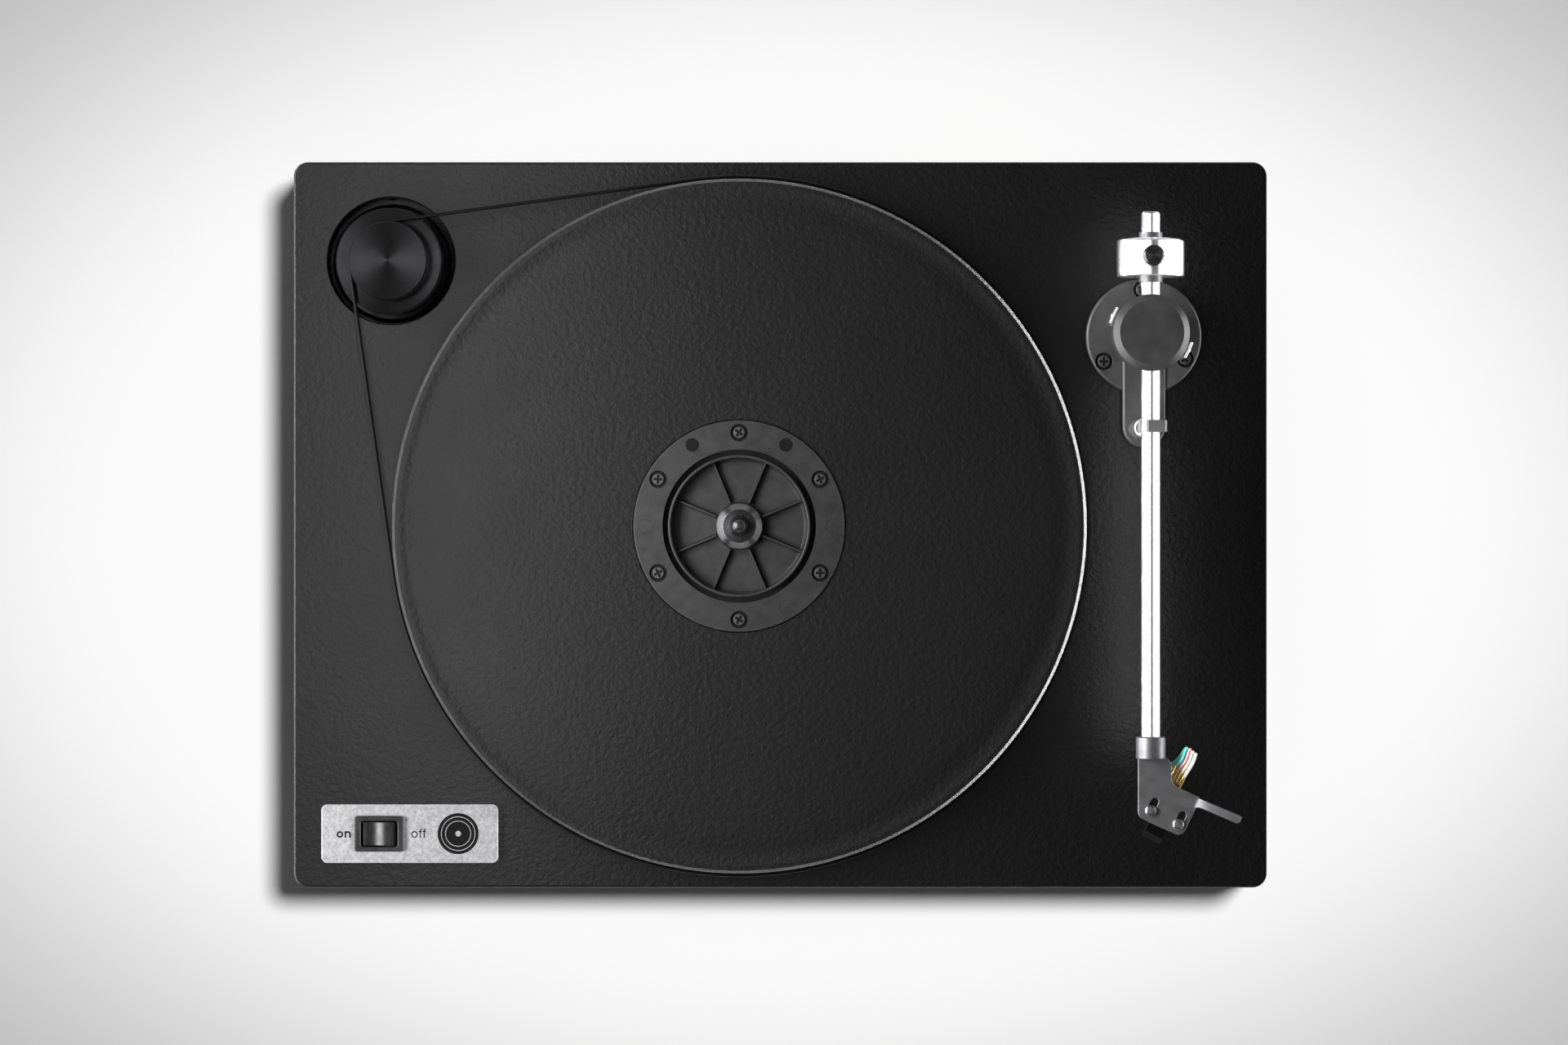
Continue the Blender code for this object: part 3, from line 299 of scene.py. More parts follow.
def shape(piece, *tools, operation="DIFFERENCE"):
    """Cuts tools from a piece, or adds them to it, and removes the tools."""
    for tool in tools:
        step = piece.modifiers.new("Shape", "BOOLEAN")
        step.operation = operation
        step.solver = "MANIFOLD"
        step.object = tool
    bpy.context.view_layer.update()
    baked(piece)
    for tool in tools:
        bpy.data.objects.remove(tool, do_unlink=True)
    return piece


def stands_for(piece, node, shading=38.0):
    """Shows this piece in place of a CAD node, on that node's body."""
    if shading:
        smooth(piece, shading)
    piece.name = node + "_detail"
    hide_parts(node)
    return rides_with(piece, node)


def rides_with(piece, node):
    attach(piece, frame["nodes"][node]["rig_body"])
    return piece


# ---- materials
class Shade:
    """A material's nodes, made by calls: shade("TexNoise", coords, None, 40.0)."""

    def __init__(self, name, colour, roughness, metallic=0.0, **sockets):
        self.material = bpy.data.materials.new(name)
        self.material.use_nodes = True
        self.tree = self.material.node_tree
        self.shader = self.tree.nodes["Principled BSDF"]
        self.colour = colour if isinstance(colour, tuple) else (colour, colour, colour)
        self.shader.inputs["Base Color"].default_value = (*self.colour, 1.0)
        self.shader.inputs["Roughness"].default_value = roughness
        self.shader.inputs["Metallic"].default_value = metallic
        for key, value in sockets.items():
            self.shader.inputs[key.replace("_", " ")].default_value = value
        self.roughness = roughness
        self.here = self("TexCoord", out="Object")
        self.height = None

    def __call__(self, kind, *values, out=0, **settings):
        node = self.tree.nodes.new("ShaderNode" + kind)
        for key, value in settings.items():
            setattr(node, key, value)
        for socket, value in zip(node.inputs, values):
            if isinstance(value, bpy.types.NodeSocket):
                self.tree.links.new(value, socket)
            elif value is not None:
                socket.default_value = value
        return node.outputs[out]

    def noise(self, size, detail=2.0, rough=0.5, stretch=None):
        """Noise with features of this size."""
        where = self.here
        if stretch:
            where = self("Mapping", where, None, None, stretch)
        return self("TexNoise", where, None, 1 / (size * MM), detail, rough)

    def span(self, value, low, high, to_low, to_high):
        return self("MapRange", value, low, high, to_low, to_high)

    def maths(self, operation, *values):
        return self("Math", *values, operation=operation)

    def mix(self, factor, first, second):
        return self("MixRGB", factor, first, second)

    def shaded(self, share):
        """The base colour times a share."""
        return tuple(c * share for c in self.colour) + (1.0,)

    def bump(self, height, depth, strength=1.0):
        """Adds relief of this depth from a 0 to 1 height."""
        node = self.tree.nodes.new("ShaderNodeBump")
        node.inputs["Strength"].default_value = strength
        node.inputs["Distance"].default_value = depth * MM
        self.tree.links.new(height, node.inputs["Height"])
        if self.height is not None:
            self.tree.links.new(self.height, node.inputs["Normal"])
        self.height = node.outputs["Normal"]
        self.tree.links.new(self.height, self.shader.inputs["Normal"])

    def set(self, socket, value):
        self.tree.links.new(value, self.shader.inputs[socket])

    def vary(self, size, colour=0.25, roughness=0.06, detail=3.0):
        """Soft changes of colour and roughness over the surface."""
        field = self.noise(size, detail, 0.55)
        low, high = self.shaded(1 - colour), self.shaded(1 + colour)
        self.tone = self.mix(self.span(field, 0.3, 0.7, 0.0, 1.0), low, high)
        self.set("Base Color", self.tone)
        rough = self.noise(size * 0.6, detail, 0.6)
        self.gloss = self.span(
            rough, 0.3, 0.7, self.roughness - roughness, self.roughness + roughness
        )
        self.set("Roughness", self.gloss)

    def rub_and_highlight(self, mask, colour, roughness):
        """Lighter, glossier places where the mask is 1: rubbed paint, and on the platter's rim also a
        painted highlight.
        """
        patchy = self.span(self.noise(2.2, 5.0, 0.7), 0.42, 0.62, 0.15, 1.0)
        rub_and_highlight_mask = self.maths("MULTIPLY", mask, patchy)
        self.tone = self.mix(rub_and_highlight_mask, self.tone, (colour, colour, colour, 1.0))
        self.set("Base Color", self.tone)
        self.gloss = self.span(rub_and_highlight_mask, 0.0, 1.0, self.gloss, roughness)
        self.set("Roughness", self.gloss)

    def finish(self, clouds, grain, depth, strength=0.7):
        """Cloudy colour and a fine grain, and the material they make."""
        self.vary(*clouds)
        self.bump(self.noise(*grain), depth, strength)
        return self.material

    def near_radius(self, radius, width):
        """1 within this width of a radius about the piece's own Z axis."""
        x, y, _ = self("SeparateXYZ", self.here).node.outputs
        squares = [self.maths("MULTIPLY", x, x), self.maths("MULTIPLY", y, y)]
        reach = self.maths("SQRT", self.maths("ADD", *squares))
        off = self.maths("ABSOLUTE", self.maths("SUBTRACT", reach, radius * MM))
        return self.span(off, 0.0, width * MM, 1.0, 0.0)

    def near_sides(self, width, depth, reach):
        """1 near the sides of an upright box about the piece's origin."""
        x, y, _ = self("SeparateXYZ", self.here).node.outputs
        gaps = [
            self.maths("SUBTRACT", half * MM, self.maths("ABSOLUTE", value))
            for value, half in ((x, width / 2), (y, depth / 2))
        ]
        return self.span(self.maths("MINIMUM", *gaps), 0.0, reach * MM, 1.0, 0.0)

    def turned(self, anisotropy, pitch=0.12, depth=0.001):
        """Tool marks in rings about the piece's own Z axis."""
        self.shader.inputs["Anisotropic"].default_value = anisotropy
        self.shader.inputs["Anisotropic Rotation"].default_value = 0.25
        self.set("Tangent", self("Tangent", direction_type="RADIAL", axis="Z"))
        rings = self("TexWave", self.here, 1 / (pitch * MM) / 20, 0.4, out="Fac",
                     wave_type="RINGS", rings_direction="Z")
        self.bump(rings, depth)


def board_paint(name, rub_and_highlight_at):
    """Satin black paint with a pebbled skin over fibreboard."""
    shade = Shade(name, 0.0065, 0.42, Specular_IOR_Level=0.5)
    shade.vary(60.0, 0.18, 0.03)
    # Lighter edges: rubbed paint, and on the platter's rim a painted highlight too.
    shade.rub_and_highlight(rub_and_highlight_at(shade), 0.030, 0.34)
    shade.bump(shade.noise(2.2, 3.0, 0.6), 0.32, 1.0)
    shade.bump(shade.noise(0.8, 2.0, 0.6), 0.05, 0.8)
    return shade.material


def moulded(name, colour, roughness, grain, depth, edge=None):
    """Moulded plastic with a fine spark-eroded grain. edge says where it is rubbed."""
    shade = Shade(name, colour, roughness)
    shade.vary(9.0, 0.25, 0.06)
    if edge:
        shade.rub_and_highlight(edge(shade), colour * 2.5, roughness - 0.08)
    shade.bump(shade.noise(grain, 3.0, 0.6), depth, 0.7)
    return shade.material


def rubber(name, colour=0.012, roughness=0.72):
    """Matt rubber, or the soft sleeve of a wire."""
    shade = Shade(name, colour, roughness, Specular_IOR_Level=0.35)
    return shade.finish((5.0, 0.3, 0.08), (0.35, 3.0, 0.6), 0.01, 0.6)


def metal(name, colour, roughness, grain, depth, stretch=None, vary=0.08, share=1.0):
    """Bare or coated metal. A share under 1 makes it partly dielectric, as a coating is."""
    shade = Shade(name, colour, roughness, share)
    return shade.finish((7.0, vary, 0.04), (grain, 3.0, 0.6, stretch), depth)


def anodised(name, colour, roughness, anisotropy):
    """Turned metal whose tool marks stretch the highlights."""
    shade = Shade(name, colour, roughness, 1.0)
    shade.vary(12.0, 0.15, 0.03)
    shade.turned(anisotropy)
    return shade.material


def blasted_plate(name):
    """Bead-blasted silver sheet with a slightly cloudy surface."""
    shade = Shade(name, (0.50, 0.50, 0.51), 0.42, 0.8)
    clouds = shade.span(shade.noise(3.0, 5.0, 0.65), 0.3, 0.7, 0.0, 1.0)
    shade.tone = shade.mix(clouds, (0.44, 0.44, 0.45, 1.0), (0.58, 0.58, 0.59, 1.0))
    shade.set("Base Color", shade.tone)
    shade.set("Roughness", shade.span(shade.noise(1.2, 3.0), 0.3, 0.7, 0.36, 0.48))
    shade.bump(shade.noise(0.45, 3.0, 0.7), 0.02, 0.7)
    return shade.material


def insulation(name, colour):
    """A lead's coloured sleeve, or a socket's ring."""
    shade = Shade(name, colour, 0.38, Subsurface_Weight=0.05)
    return shade.finish((1.5, 0.08, 0.05), (0.4, 2.0), 0.01, 0.5)


def ink(name, colour, specular):
    """A flat black that shines very little."""
    shade = Shade(name, colour, 0.5, Specular_IOR_Level=specular)
    return shade.finish((1.0, 0.3, 0.08), (0.2, 2.0), 0.004, 0.5)


hub_black = moulded("hub_black", 0.022, 0.40, 0.8, 0.03, lambda s: s.near_radius(44.2, 0.6))
arm_black = moulded("arm_black", 0.044, 0.36, 0.6, 0.010)
cast_black = moulded("cast_black", 0.030, 0.40, 1.2, 0.035)
# The clip is glossy black plastic; its grey colour is a painted reflection.
clip_reflection_grey = moulded("clip_reflection_grey", 0.10, 0.38, 0.6, 0.006)
case_black = moulded("case_black", 0.018, 0.36, 0.5, 0.008)
gloss_black = moulded("gloss_black", 0.008, 0.32, 0.9, 0.004)
soft_rubber = rubber("soft_rubber")
bright = metal("bright", (0.92, 0.92, 0.93), 0.16, 0.5, 0.002, share=0.88)
polished_tube = metal("polished_tube", (0.94, 0.94, 0.95), 0.15, 0.15, 0.002, (0.2, 0.2, 3.0), share=0.9)
plain_steel = metal("plain_steel", (0.42, 0.42, 0.43), 0.34, 0.6, 0.006)
# Dark metal; on the motor can it also stands in for the shade at the bottom of the well.
blackened = metal("blackened", (0.055, 0.055, 0.058), 0.30, 0.5, 0.006, vary=0.25)
screw_black = metal("screw_black", (0.085, 0.085, 0.088), 0.48, 0.5, 0.006, vary=0.2, share=0.7)
grey_shell = metal("grey_shell", (0.16, 0.16, 0.165), 0.46, 0.35, 0.012, vary=0.12, share=0.8)
brass = metal("brass", (0.62, 0.44, 0.17), 0.30, 0.5, 0.005, vary=0.2)
gold = metal("gold", (0.90, 0.62, 0.22), 0.26, 0.4, 0.003, vary=0.15, share=0.7)
silver_sheet = blasted_plate("silver_sheet")
print_ink = ink("print_ink", 0.004, 0.12)
# Flat black for the painted shade in the screw recesses, and for two moulding marks on the hub.
mark_black = ink("mark_black", 0.006, 0.12)
shadow_black = ink("shadow_black", 0.004, 0.10)
belt_rubber = ink("belt_rubber", 0.005, 0.16)
pulley_black = anodised("pulley_black", (0.055, 0.055, 0.058), 0.36, 0.75)
knob_black = anodised("knob_black", (0.09, 0.09, 0.095), 0.28, 0.9)
spindle_dark = anodised("spindle_dark", (0.17, 0.17, 0.175), 0.28, 0.5)
turned_steel = anodised("turned_steel", (0.50, 0.50, 0.51), 0.26, 0.5)


# ---- plinth
def rod(radius, low, high):
    """The outline of a plain round bar, which cuts a hole."""
    return [(0, low), (radius, low), (radius, high), (0, high)]


def make_plinth():
    """The board with its well, bores and grooves, and the four feet."""
    low, high, middle = spot("plinth")
    width, depth, height = high - low
    paint = board_paint("plinth_paint", lambda s: s.near_sides(width, depth, 0.9))
    plinth = plate(
        "plinth_body", soft_box(width, depth, 6.0), [], height, paint, middle, edge=1.1, steps=4
    )
    top, bottom = high.z, low.z
    well = [
        (0, bottom - 1), (38, bottom - 1), (38, 30), (27, 30), (27, top - 0.7),
        (27.25, top - 0.2), (27.7, top), (28.4, top + 0.5), (0, top + 0.5),
    ]
    bearing = spot("bearing_nut")[2]
    post = spot("arm_post")[2]
    rocker = spot("switch_housing")[2]
    tools = [
        lathe("well", well, None, (*spot("bottom_cover")[2].xy, 0), steps=144),
        lathe("bore", [(0, 15), (15, 15), (15, 25), (9.6, 25), (9.6, 42), (0, 42)], None,
              (*bearing.xy, 0), steps=48),
        lathe("arm_bore", rod(7, 15, 42), None, (*post.xy, 0), steps=40),
        block("switch_bore", (rocker.x - 9.6, rocker.y - 6.6, 15),
              (rocker.x + 9.6, rocker.y + 6.6, 42)),
        block("pocket", (60, 116, 15), (130, 160, 37)),
        block("groove_1", (-130, 96, 15), (76, 104, 24)),
        block("groove_2", (72, 98, 15), (80, 118, 23.9)),
        block("groove_3", (-174, -132, 15), (-166, 80, 24.1)),
    ]
    for index in (1, 2, 3):
        screw = spot(f"arm_base_screw_{index}")[2]
        tools.append(lathe("hole", rod(1.8, 30, 42), None, (*screw.xy, 0), steps=24))
    for tool in tools:
        shape(plinth, tool)
    stands_for(plinth, "plinth")

    foot = [
        (3, 15.7), (18.4, 15.7, 0.6), (19, 15.1), (19, 12.6), (18.3, 12.2), (18.3, 11.6),
        (19, 11.2), (19, 9.0, 2.0), (17.6, 0.9, 1.0), (16.7, 0, 0.7), (13.4, 0, 0.4),
        (13.0, 0.7), (11.4, 0.7), (11.0, 0, 0.4), (7, 0, 0.5), (7, 6, 0.4), (3, 6),
    ]
    for index in (1, 2, 3, 4):
        at = (*spot(f"foot_{index}")[2].xy, 0)
        stands_for(lathe("foot", foot, soft_rubber, at), f"foot_{index}")


# ---- switch
def letter_n(x, width, height, stroke):
    reach = width / 2
    outer = arc(reach, 150, 0, 14, (x + reach, height - reach))
    inner = arc(reach - stroke, 0, 180, 14, (x + reach, height - reach))
    start = [(x, 0), (x, height), (x + stroke, height), (x + stroke, height - 0.3)]
    return start + outer[2:] + [(x + width, 0), (x + width - stroke, 0)] + inner + [(x + stroke, 0)]


def letter_f(x, height, rise, stroke):
    hook = 0.9
    outer = arc(hook, 180, 85, 8, (x + hook, rise - hook))
    inner = arc(hook - stroke, 85, 180, 8, (x + hook, rise - hook))
    bar = [(x - 0.4, height - stroke), (x - 0.4, height), (x, height)]
    right = [(x + stroke, height), (x + 0.95, height), (x + 0.95, height - stroke)]
    return [(x, 0), (x, height - stroke), *bar, *outer, *inner, *right,
            (x + stroke, height - stroke), (x + stroke, 0)]


def print_on_plate(name, outer, holes, x, y, top):
    piece = plate(name, outer, holes, 0.04, print_ink, (x, y, top + 0.02))
    return rides_with(piece, "switch_plate")


def make_switch():
    low, high, middle = spot("switch_plate")
    box_low, box_high, box = spot("switch_housing")
    hole = soft_box(19.2, 13.2, 0.3, (box.x - middle.x, 0))
    sheet = plate(
        "switch_sheet", soft_box(high.x - low.x, high.y - low.y, 2.5), [hole],
        high.z - low.z, silver_sheet, middle, edge=0.22, steps=3,
    )
    stands_for(sheet, "switch_plate")
    top = high.z
    left = middle.x - 31.0
    line = middle.y - 1.75

    def letter_o(name, stroke):
        outer, inner = (circle(radius, (1.38, 1.42), 40) for radius in (1.4, 1.4 - stroke))
        print_on_plate(name, outer, [inner], left, line, top)

    letter_o("letter_on_o", 0.68)
    print_on_plate("letter_on_n", letter_n(3.35, 2.7, 2.85, 0.68), [], left, line, top)
    left = middle.x + 0.6
    letter_o("letter_off_o", 0.45)
    print_on_plate("letter_off_f1", letter_f(3.6, 2.85, 3.9, 0.45), [], left, line, top)
    print_on_plate("letter_off_f2", letter_f(5.3, 2.85, 3.9, 0.45), [], left, line, top)
    centre = (middle.x + 20.5, middle.y)
    for index, (outer, inner) in enumerate([(8.7, 7.3), (7.0, 5.5), (5.2, 1.2)]):
        ring = circle(outer, (0, 0), 96), [circle(inner, (0, 0), 72)]
        print_on_plate(f"record_sign_{index}", *ring, *centre, top)

    frame_height = box_high.z - (high.z + 0.3)
    opening = soft_box(15.4, 10.9, 1.3)
    rim = plate(
        "switch_frame", soft_box(box_high.x - box_low.x, box_high.y - box_low.y, 1.2), [opening],
        frame_height, case_black, (box.x, box.y, box_high.z - frame_height / 2), edge=0.5, steps=3,
    )
    body = block("switch_body", (box.x - 9.3, box.y - 6.3, box_low.z),
                 (box.x + 9.3, box.y + 6.3, box_high.z - 1.2))
    cavity = block("cavity", (box.x - 7.7, box.y - 5.45, 32.9), (box.x + 7.7, box.y + 5.45, 60))
    shape(body, cavity)
    shape(rim, body, operation="UNION")
    stands_for(rim, "switch_housing")

    radius, width, pivot = 7.4, 10.3, 40.6
    corner = around(radius, 40.0)
    dip = 1.5
    ridge = [(corner[0] * t / 10, corner[1] - dip * (1 - (t / 10) ** 2)) for t in range(-9, 10)]
    side = arc(radius, -220, 40, 60) + ridge[::-1]
    rocker = plate("rocker_body", side, [], width, gloss_black, (box.x, box.y, pivot),
                   (90, -14, 0), edge=0.45, steps=4)
    stands_for(rocker, "switch_rocker")


# ---- drive
def make_drive():
    low, high, middle = spot("motor_pulley")
    height = high.z - low.z
    groove = 15.2
    profile = [
        (0, height - 0.35), (16.1, height), (16.5, height - 0.45, 0.2), (16.5, height - 1.3, 0.2),
        (groove, height - 2.6, 0.4), (groove, height - 5.4, 0.4), (16.6, height - 6.7, 0.3),
        (21.9, height - 6.7, 0.3), (22.4, height - 7.2, 0.3), (22.4, height - 8.0, 0.2),
        (21.0, height - 9.0, 0.3), (21.0, height - 12.2, 0.3), (22.4, height - 13.4, 0.3),
        (22.4, 0.5, 0.3), (22.0, 0.0), (1.9, 0), (1.9, height - 3), (0, height - 3),
    ]
    pulley = lathe("pulley", profile, pulley_black, (*middle.xy, low.z), steps=192)
    stands_for(pulley, "motor_pulley", 30)

    can_low, can_high, can = spot("motor_body")
    top = can_high.z
    profile = [
        (1.9, top), (7.0, top, 0.2), (7.6, top - 0.6, 0.2), (7.6, top - 1.6, 0.3), (23.6, top - 1.6, 0.3),
        (24.1, top - 1.9), (24.9, top - 2.6, 0.5), (25, top - 3.4), (25, can_low.z + 0.8, 0.4),
        (24.2, can_low.z), (1.9, can_low.z),
    ]
    # The can is dark metal; its dark top is partly painted shade for the floor of the well.
    stands_for(lathe("can", profile, blackened, (*can.xy, 0), steps=144), "motor_body", 30)

    belt = spot("drive_belt")[2]
    spindle = spot("spindle")[2]
    on_platter, on_pulley = 147.25, 16.36
    dx, dy = middle.x - spindle.x, middle.y - spindle.y
    heading = math.degrees(math.atan2(dy, dx))
    lean = math.degrees(math.acos((on_platter - on_pulley) / math.hypot(dx, dy)))
    path = arc(on_platter, heading + lean, heading + 360 - lean, 260, spindle.xy)
    path += arc(on_pulley, heading - lean, heading + lean, 40, middle.xy)
    belt = tube("belt", [(x, y, belt.z) for x, y in path], 0.75, belt_rubber, closed=True)
    stands_for(belt, "drive_belt", None)


# ---- platter
def phillips(node, head, look, angle=20.0):
    """A flat-topped screw with a bold cross recess; dark sheets in the cross and round its head are
    painted shade of the counterbore.
    """
    low, high, middle = spot(node)
    top, shank, at = high.z, 1.3, middle.xy
    profile = [
        (0, top), (head - 0.35, top, 0.2), (head, top - 0.45, 0.2), (head, top - 1.2, 0.1),
        (shank, top - 1.2), (shank, low.z), (0, low.z),
    ]
    screw = lathe("screw", profile, look, (*at, 0), steps=48)
    arm_length, arm_width = 1.9, 0.52
    for turn in (0, 90):
        bar = block("bar", (-arm_length, -arm_width, top - 1.1), (arm_length, arm_width, top + 0.3))
        place(bar, (*at, top - 0.4), (0, 0, angle + turn))
        shape(screw, bar)
    stands_for(screw, node)
    quarter = [(arm_length, -arm_width), (arm_length, arm_width), (arm_width, arm_width)]
    cross = [
        around(0.97 * math.hypot(x, y), math.degrees(math.atan2(y, x)) + turn)
        for turn in (0, 90, 180, 270) for x, y in quarter
    ]
    # A dark sheet inside the cross recess: painted shade.
    inside = plate(node + "_cross", cross, [], 0.2, mark_black, (*at, top - 0.5), (0, 0, angle))
    rides_with(inside, node)
    # A dark ring round the head on the counterbore's floor: painted shade.
    outer, inner = (circle(head + clear, (0, 0), 48) for clear in (0.85, 0.06))
    counterbore_shade = plate(node + "_gap", outer, [inner], 0.1, mark_black, (*at, top - 0.9))
    rides_with(counterbore_shade, node)


SCREW_CIRCLE = 39.3


def make_platter():
    """The platter, its hub insert with six screws, and the spindle."""
    low, high, middle = spot("platter")
    height = high.z - low.z
    face = height - 0.4
    hub_low, hub_high = spot("platter_hub")[:2]
    radius = (high.x - low.x) / 2
    # The lighter band at the rim's edge is partly a painted highlight.
    paint = board_paint("platter_paint", lambda s: s.near_radius(radius, 0.5))
    profile = [
        (44.9, face, 0.15), (129.0, face), (132.0, face - 0.05), (135.0, face - 0.2),
        (137.0, face - 0.25), (138.5, face - 0.2), (140.0, face - 0.07), (141.2, face + 0.1),
        (142.3, face + 0.31), (143.0, height - 0.02, 0.3), (144.7, height, 0.3),
        (radius, height - 1.35, 0.3), (radius, 0.6, 0.4), (radius - 0.7, 0, 0.3),
        (35.2, 0), (35.2, height - 3.9), (44.9, height - 3.9),
    ]
    platter = lathe("platter_disc", profile, paint, (*middle.xy, low.z), steps=288)
    at = middle.xy
    screws = [around(SCREW_CIRCLE, 30 + 60 * index, at) for index in range(6)]
    shape(platter, *(lathe("hole", rod(1.8, 40, 61), None, (*xy, 0), steps=20) for xy in screws))
    stands_for(platter, "platter", 30)

    top = hub_high.z
    ring = top - 0.3
    profile = [
        (32.2, top, 0.3), (44.1, top, 0.15), (44.5, top - 0.4, 0.2), (44.5, top - 3.6), (34.9, top - 3.6),
        (34.9, hub_low.z + 3.0), (9.0, hub_low.z + 3.0), (9.0, hub_low.z), (5.3, hub_low.z),
        (5.3, 55.5), (27.4, 55.5, 0.3), (28.6, 56.4, 0.6), (28.6, ring, 0.55), (30.0, ring, 0.45),
        (30.0, 52.5), (32.2, 52.5),
    ]
    hub = lathe("hub", profile, hub_black, (*at, 0), steps=144)
    taper = [(x * 9.3, y * half, z) for half, z in ((1.05, 54.9), (0.38, 59.4)) for x, y in SQUARE]
    for index in range(8):
        angle = 22.5 + 45 * index
        x, y = around(19.8, angle, at)
        shape(hub, new_piece("rib", taper, BOX_FACES, None, (x, y, 0), (0, 0, angle)), operation="UNION")
    recess = [(0, 55), (1.7, 55), (1.7, top - 1.6), (3.6, top - 1.6, 0.2), (3.6, top - 0.15),
              (3.85, top + 0.1), (3.85, 66), (0, 66)]
    for xy in screws:
        shape(hub, lathe("recess", recess, None, (*xy, 0), steps=40))
    mark = [(0, top - 0.15), (2.8, top - 0.15), (3.0, top + 0.1), (3.0, 66), (0, 66)]
    for angle in (0, 60, 120, 180, -60):
        x, y = around(SCREW_CIRCLE, angle, at)
        shape(hub, lathe("mark", mark, None, (x, y, 0), steps=40))
        if angle in (60, 120):
            skin = [(0, top - 0.1), (2.75, top - 0.1), (2.75, top - 0.3), (0, top - 0.3)]
            disc = lathe(f"moulding_mark_{angle}", skin, mark_black, (x, y, 0), steps=40)
            rides_with(smooth(disc), "platter_hub")
    stands_for(hub, "platter_hub", 30)
    for index in range(6):
        phillips(f"hub_screw_{index + 1}", 2.6, screw_black, 25 + 31 * index)

    low, high, middle = spot("spindle")
    boss, tip = 63.6, high.z
    profile = [
        (0, tip - 0.1), (1.1, tip - 0.1, 0.3), (1.6, tip - 0.4, 0.3), (2.6, tip - 1.0, 0.8),
        (3.6, tip - 3.0, 0.8), (3.6, boss + 0.35, 0.3), (3.25, boss + 0.2),
        (3.25, boss - 0.6, 0.1), (4.1, boss - 0.6, 0.1),
        (4.2, boss, 0.1), (7.0, boss, 0.25), (9.6, boss - 2.2, 0.4), (10, boss - 3.0, 0.3),
        (10, 55.8), (5, 55.8), (5, low.z + 0.8, 0.2), (4.2, low.z), (0, low.z),
    ]
    spindle = lathe("spindle_turned", profile, spindle_dark, (*middle.xy, 0), steps=128)
    stands_for(spindle, "spindle", 30)


# ---- tonearm
PIVOT = spot("arm_post")[2]
AXIS = 86.0  # height of the tube's axis
OFFSET = 26.2  # turn of the cartridge from the tube, in degrees
YOKE_TURN = 155  # heading of the yoke's pins
SCREW_LINE = (5.6, -201.4)  # middle of the cartridge's two screws, from the pivot
ALONG = (-90, 0, 0)  # turns a lathed piece to lie along the tube


def arm(x, y):
    """A point given from the arm's pivot."""
    return (PIVOT.x + x, PIVOT.y + y)


def cartridge(right, back, height):
    """A point beside and behind the cartridge's screw line."""
    turn = math.radians(OFFSET)
    x = SCREW_LINE[0] + right * math.cos(turn) + back * math.sin(turn)
    y = SCREW_LINE[1] - right * math.sin(turn) + back * math.cos(turn)
    return (*arm(x, y), height)


def make_arm_base():
    low, high = spot("arm_base")[:2]
    bottom, top = low.z, low.z + 4.0
    start = math.degrees(math.asin(9.1 / 24.5)) - 90
    end = arc(9.1, 180, 360, 30, (0, -38.1))
    outline = arc(24.5, start, 180 - start, 90) + end
    base = plate("base", outline, [], 4.0, arm_black, (*arm(0, 0), bottom + 2), edge=1.3, steps=5)
    tongue = plate("tongue", [(-9.1, -10)] + end + [(9.1, -10)], [], 5.3, None,
                   (*arm(0, 0), bottom + 2.75), edge=1.3, steps=5)
    shape(base, tongue, operation="UNION")
    pillar = [(0, bottom + 1), (10.5, bottom + 1), (10.5, high.z, 0.6), (0, high.z)]
    shape(base, lathe("pillar", pillar, None, (*arm(0, 0), 0), steps=96), operation="UNION")
    shape(base, lathe("bore", rod(6.4, 40, 73), None, (*arm(0, 0), 0), steps=64))
    for index in (1, 2, 3):
        node = f"arm_base_screw_{index}"
        s_middle = spot(node)[2]
        recess = [(0, 40), (1.8, 40), (1.8, top - 1.6), (3.7, top - 1.6), (3.7, top - 0.2),
                  (3.95, top + 0.1), (3.95, 48), (0, 48)]
        shape(base, lathe("recess", recess, None, (*s_middle.xy, 0), steps=48))
        phillips(node, 2.7, screw_black, 10 + 40 * index)
    stands_for(base, "arm_base")

    low, high, middle = spot("arm_rest_post")
    post = [(0, high.z), (3.5, high.z, 0.2), (4.0, high.z - 0.6, 0.3), (4.0, low.z + 3.0, 0.2),
            (3.7, low.z + 2.7), (3.7, low.z + 2.0), (4.0, low.z + 1.7, 0.2), (4.0, low.z), (0, low.z)]
    stands_for(lathe("post", post, bright, (*middle.xy, 0), steps=64), "arm_rest_post")

    inside = 4.3
    clip = [(-4.6, -6.6, 0.6), (4.9, -6.6, 1.0), (6.2, -5.3, 1.0), (6.2, 9.6, 1.3), (4.9, 10.9, 1.3),
            (-1.7, 10.9, 0.6), (-2.4, 10.2, 0.4), (-2.4, 9.3, 0.3), (-1.9, 8.8, 0.3), (3.5, 8.8, 0.4),
            (inside, 8.0, 0.4), *arc(inside, 0, -90, 18), (-4.0, -inside, 0.3),
            (-4.6, -inside - 0.6, 0.3)]
    at = spot("arm_clip")[2]
    piece = plate("clip", rounded(clip, True), [], 5.0, clip_reflection_grey, (PIVOT.x, at.y, AXIS), (90, 0, 0),
                  edge=0.35, steps=3)
    stands_for(piece, "arm_clip")


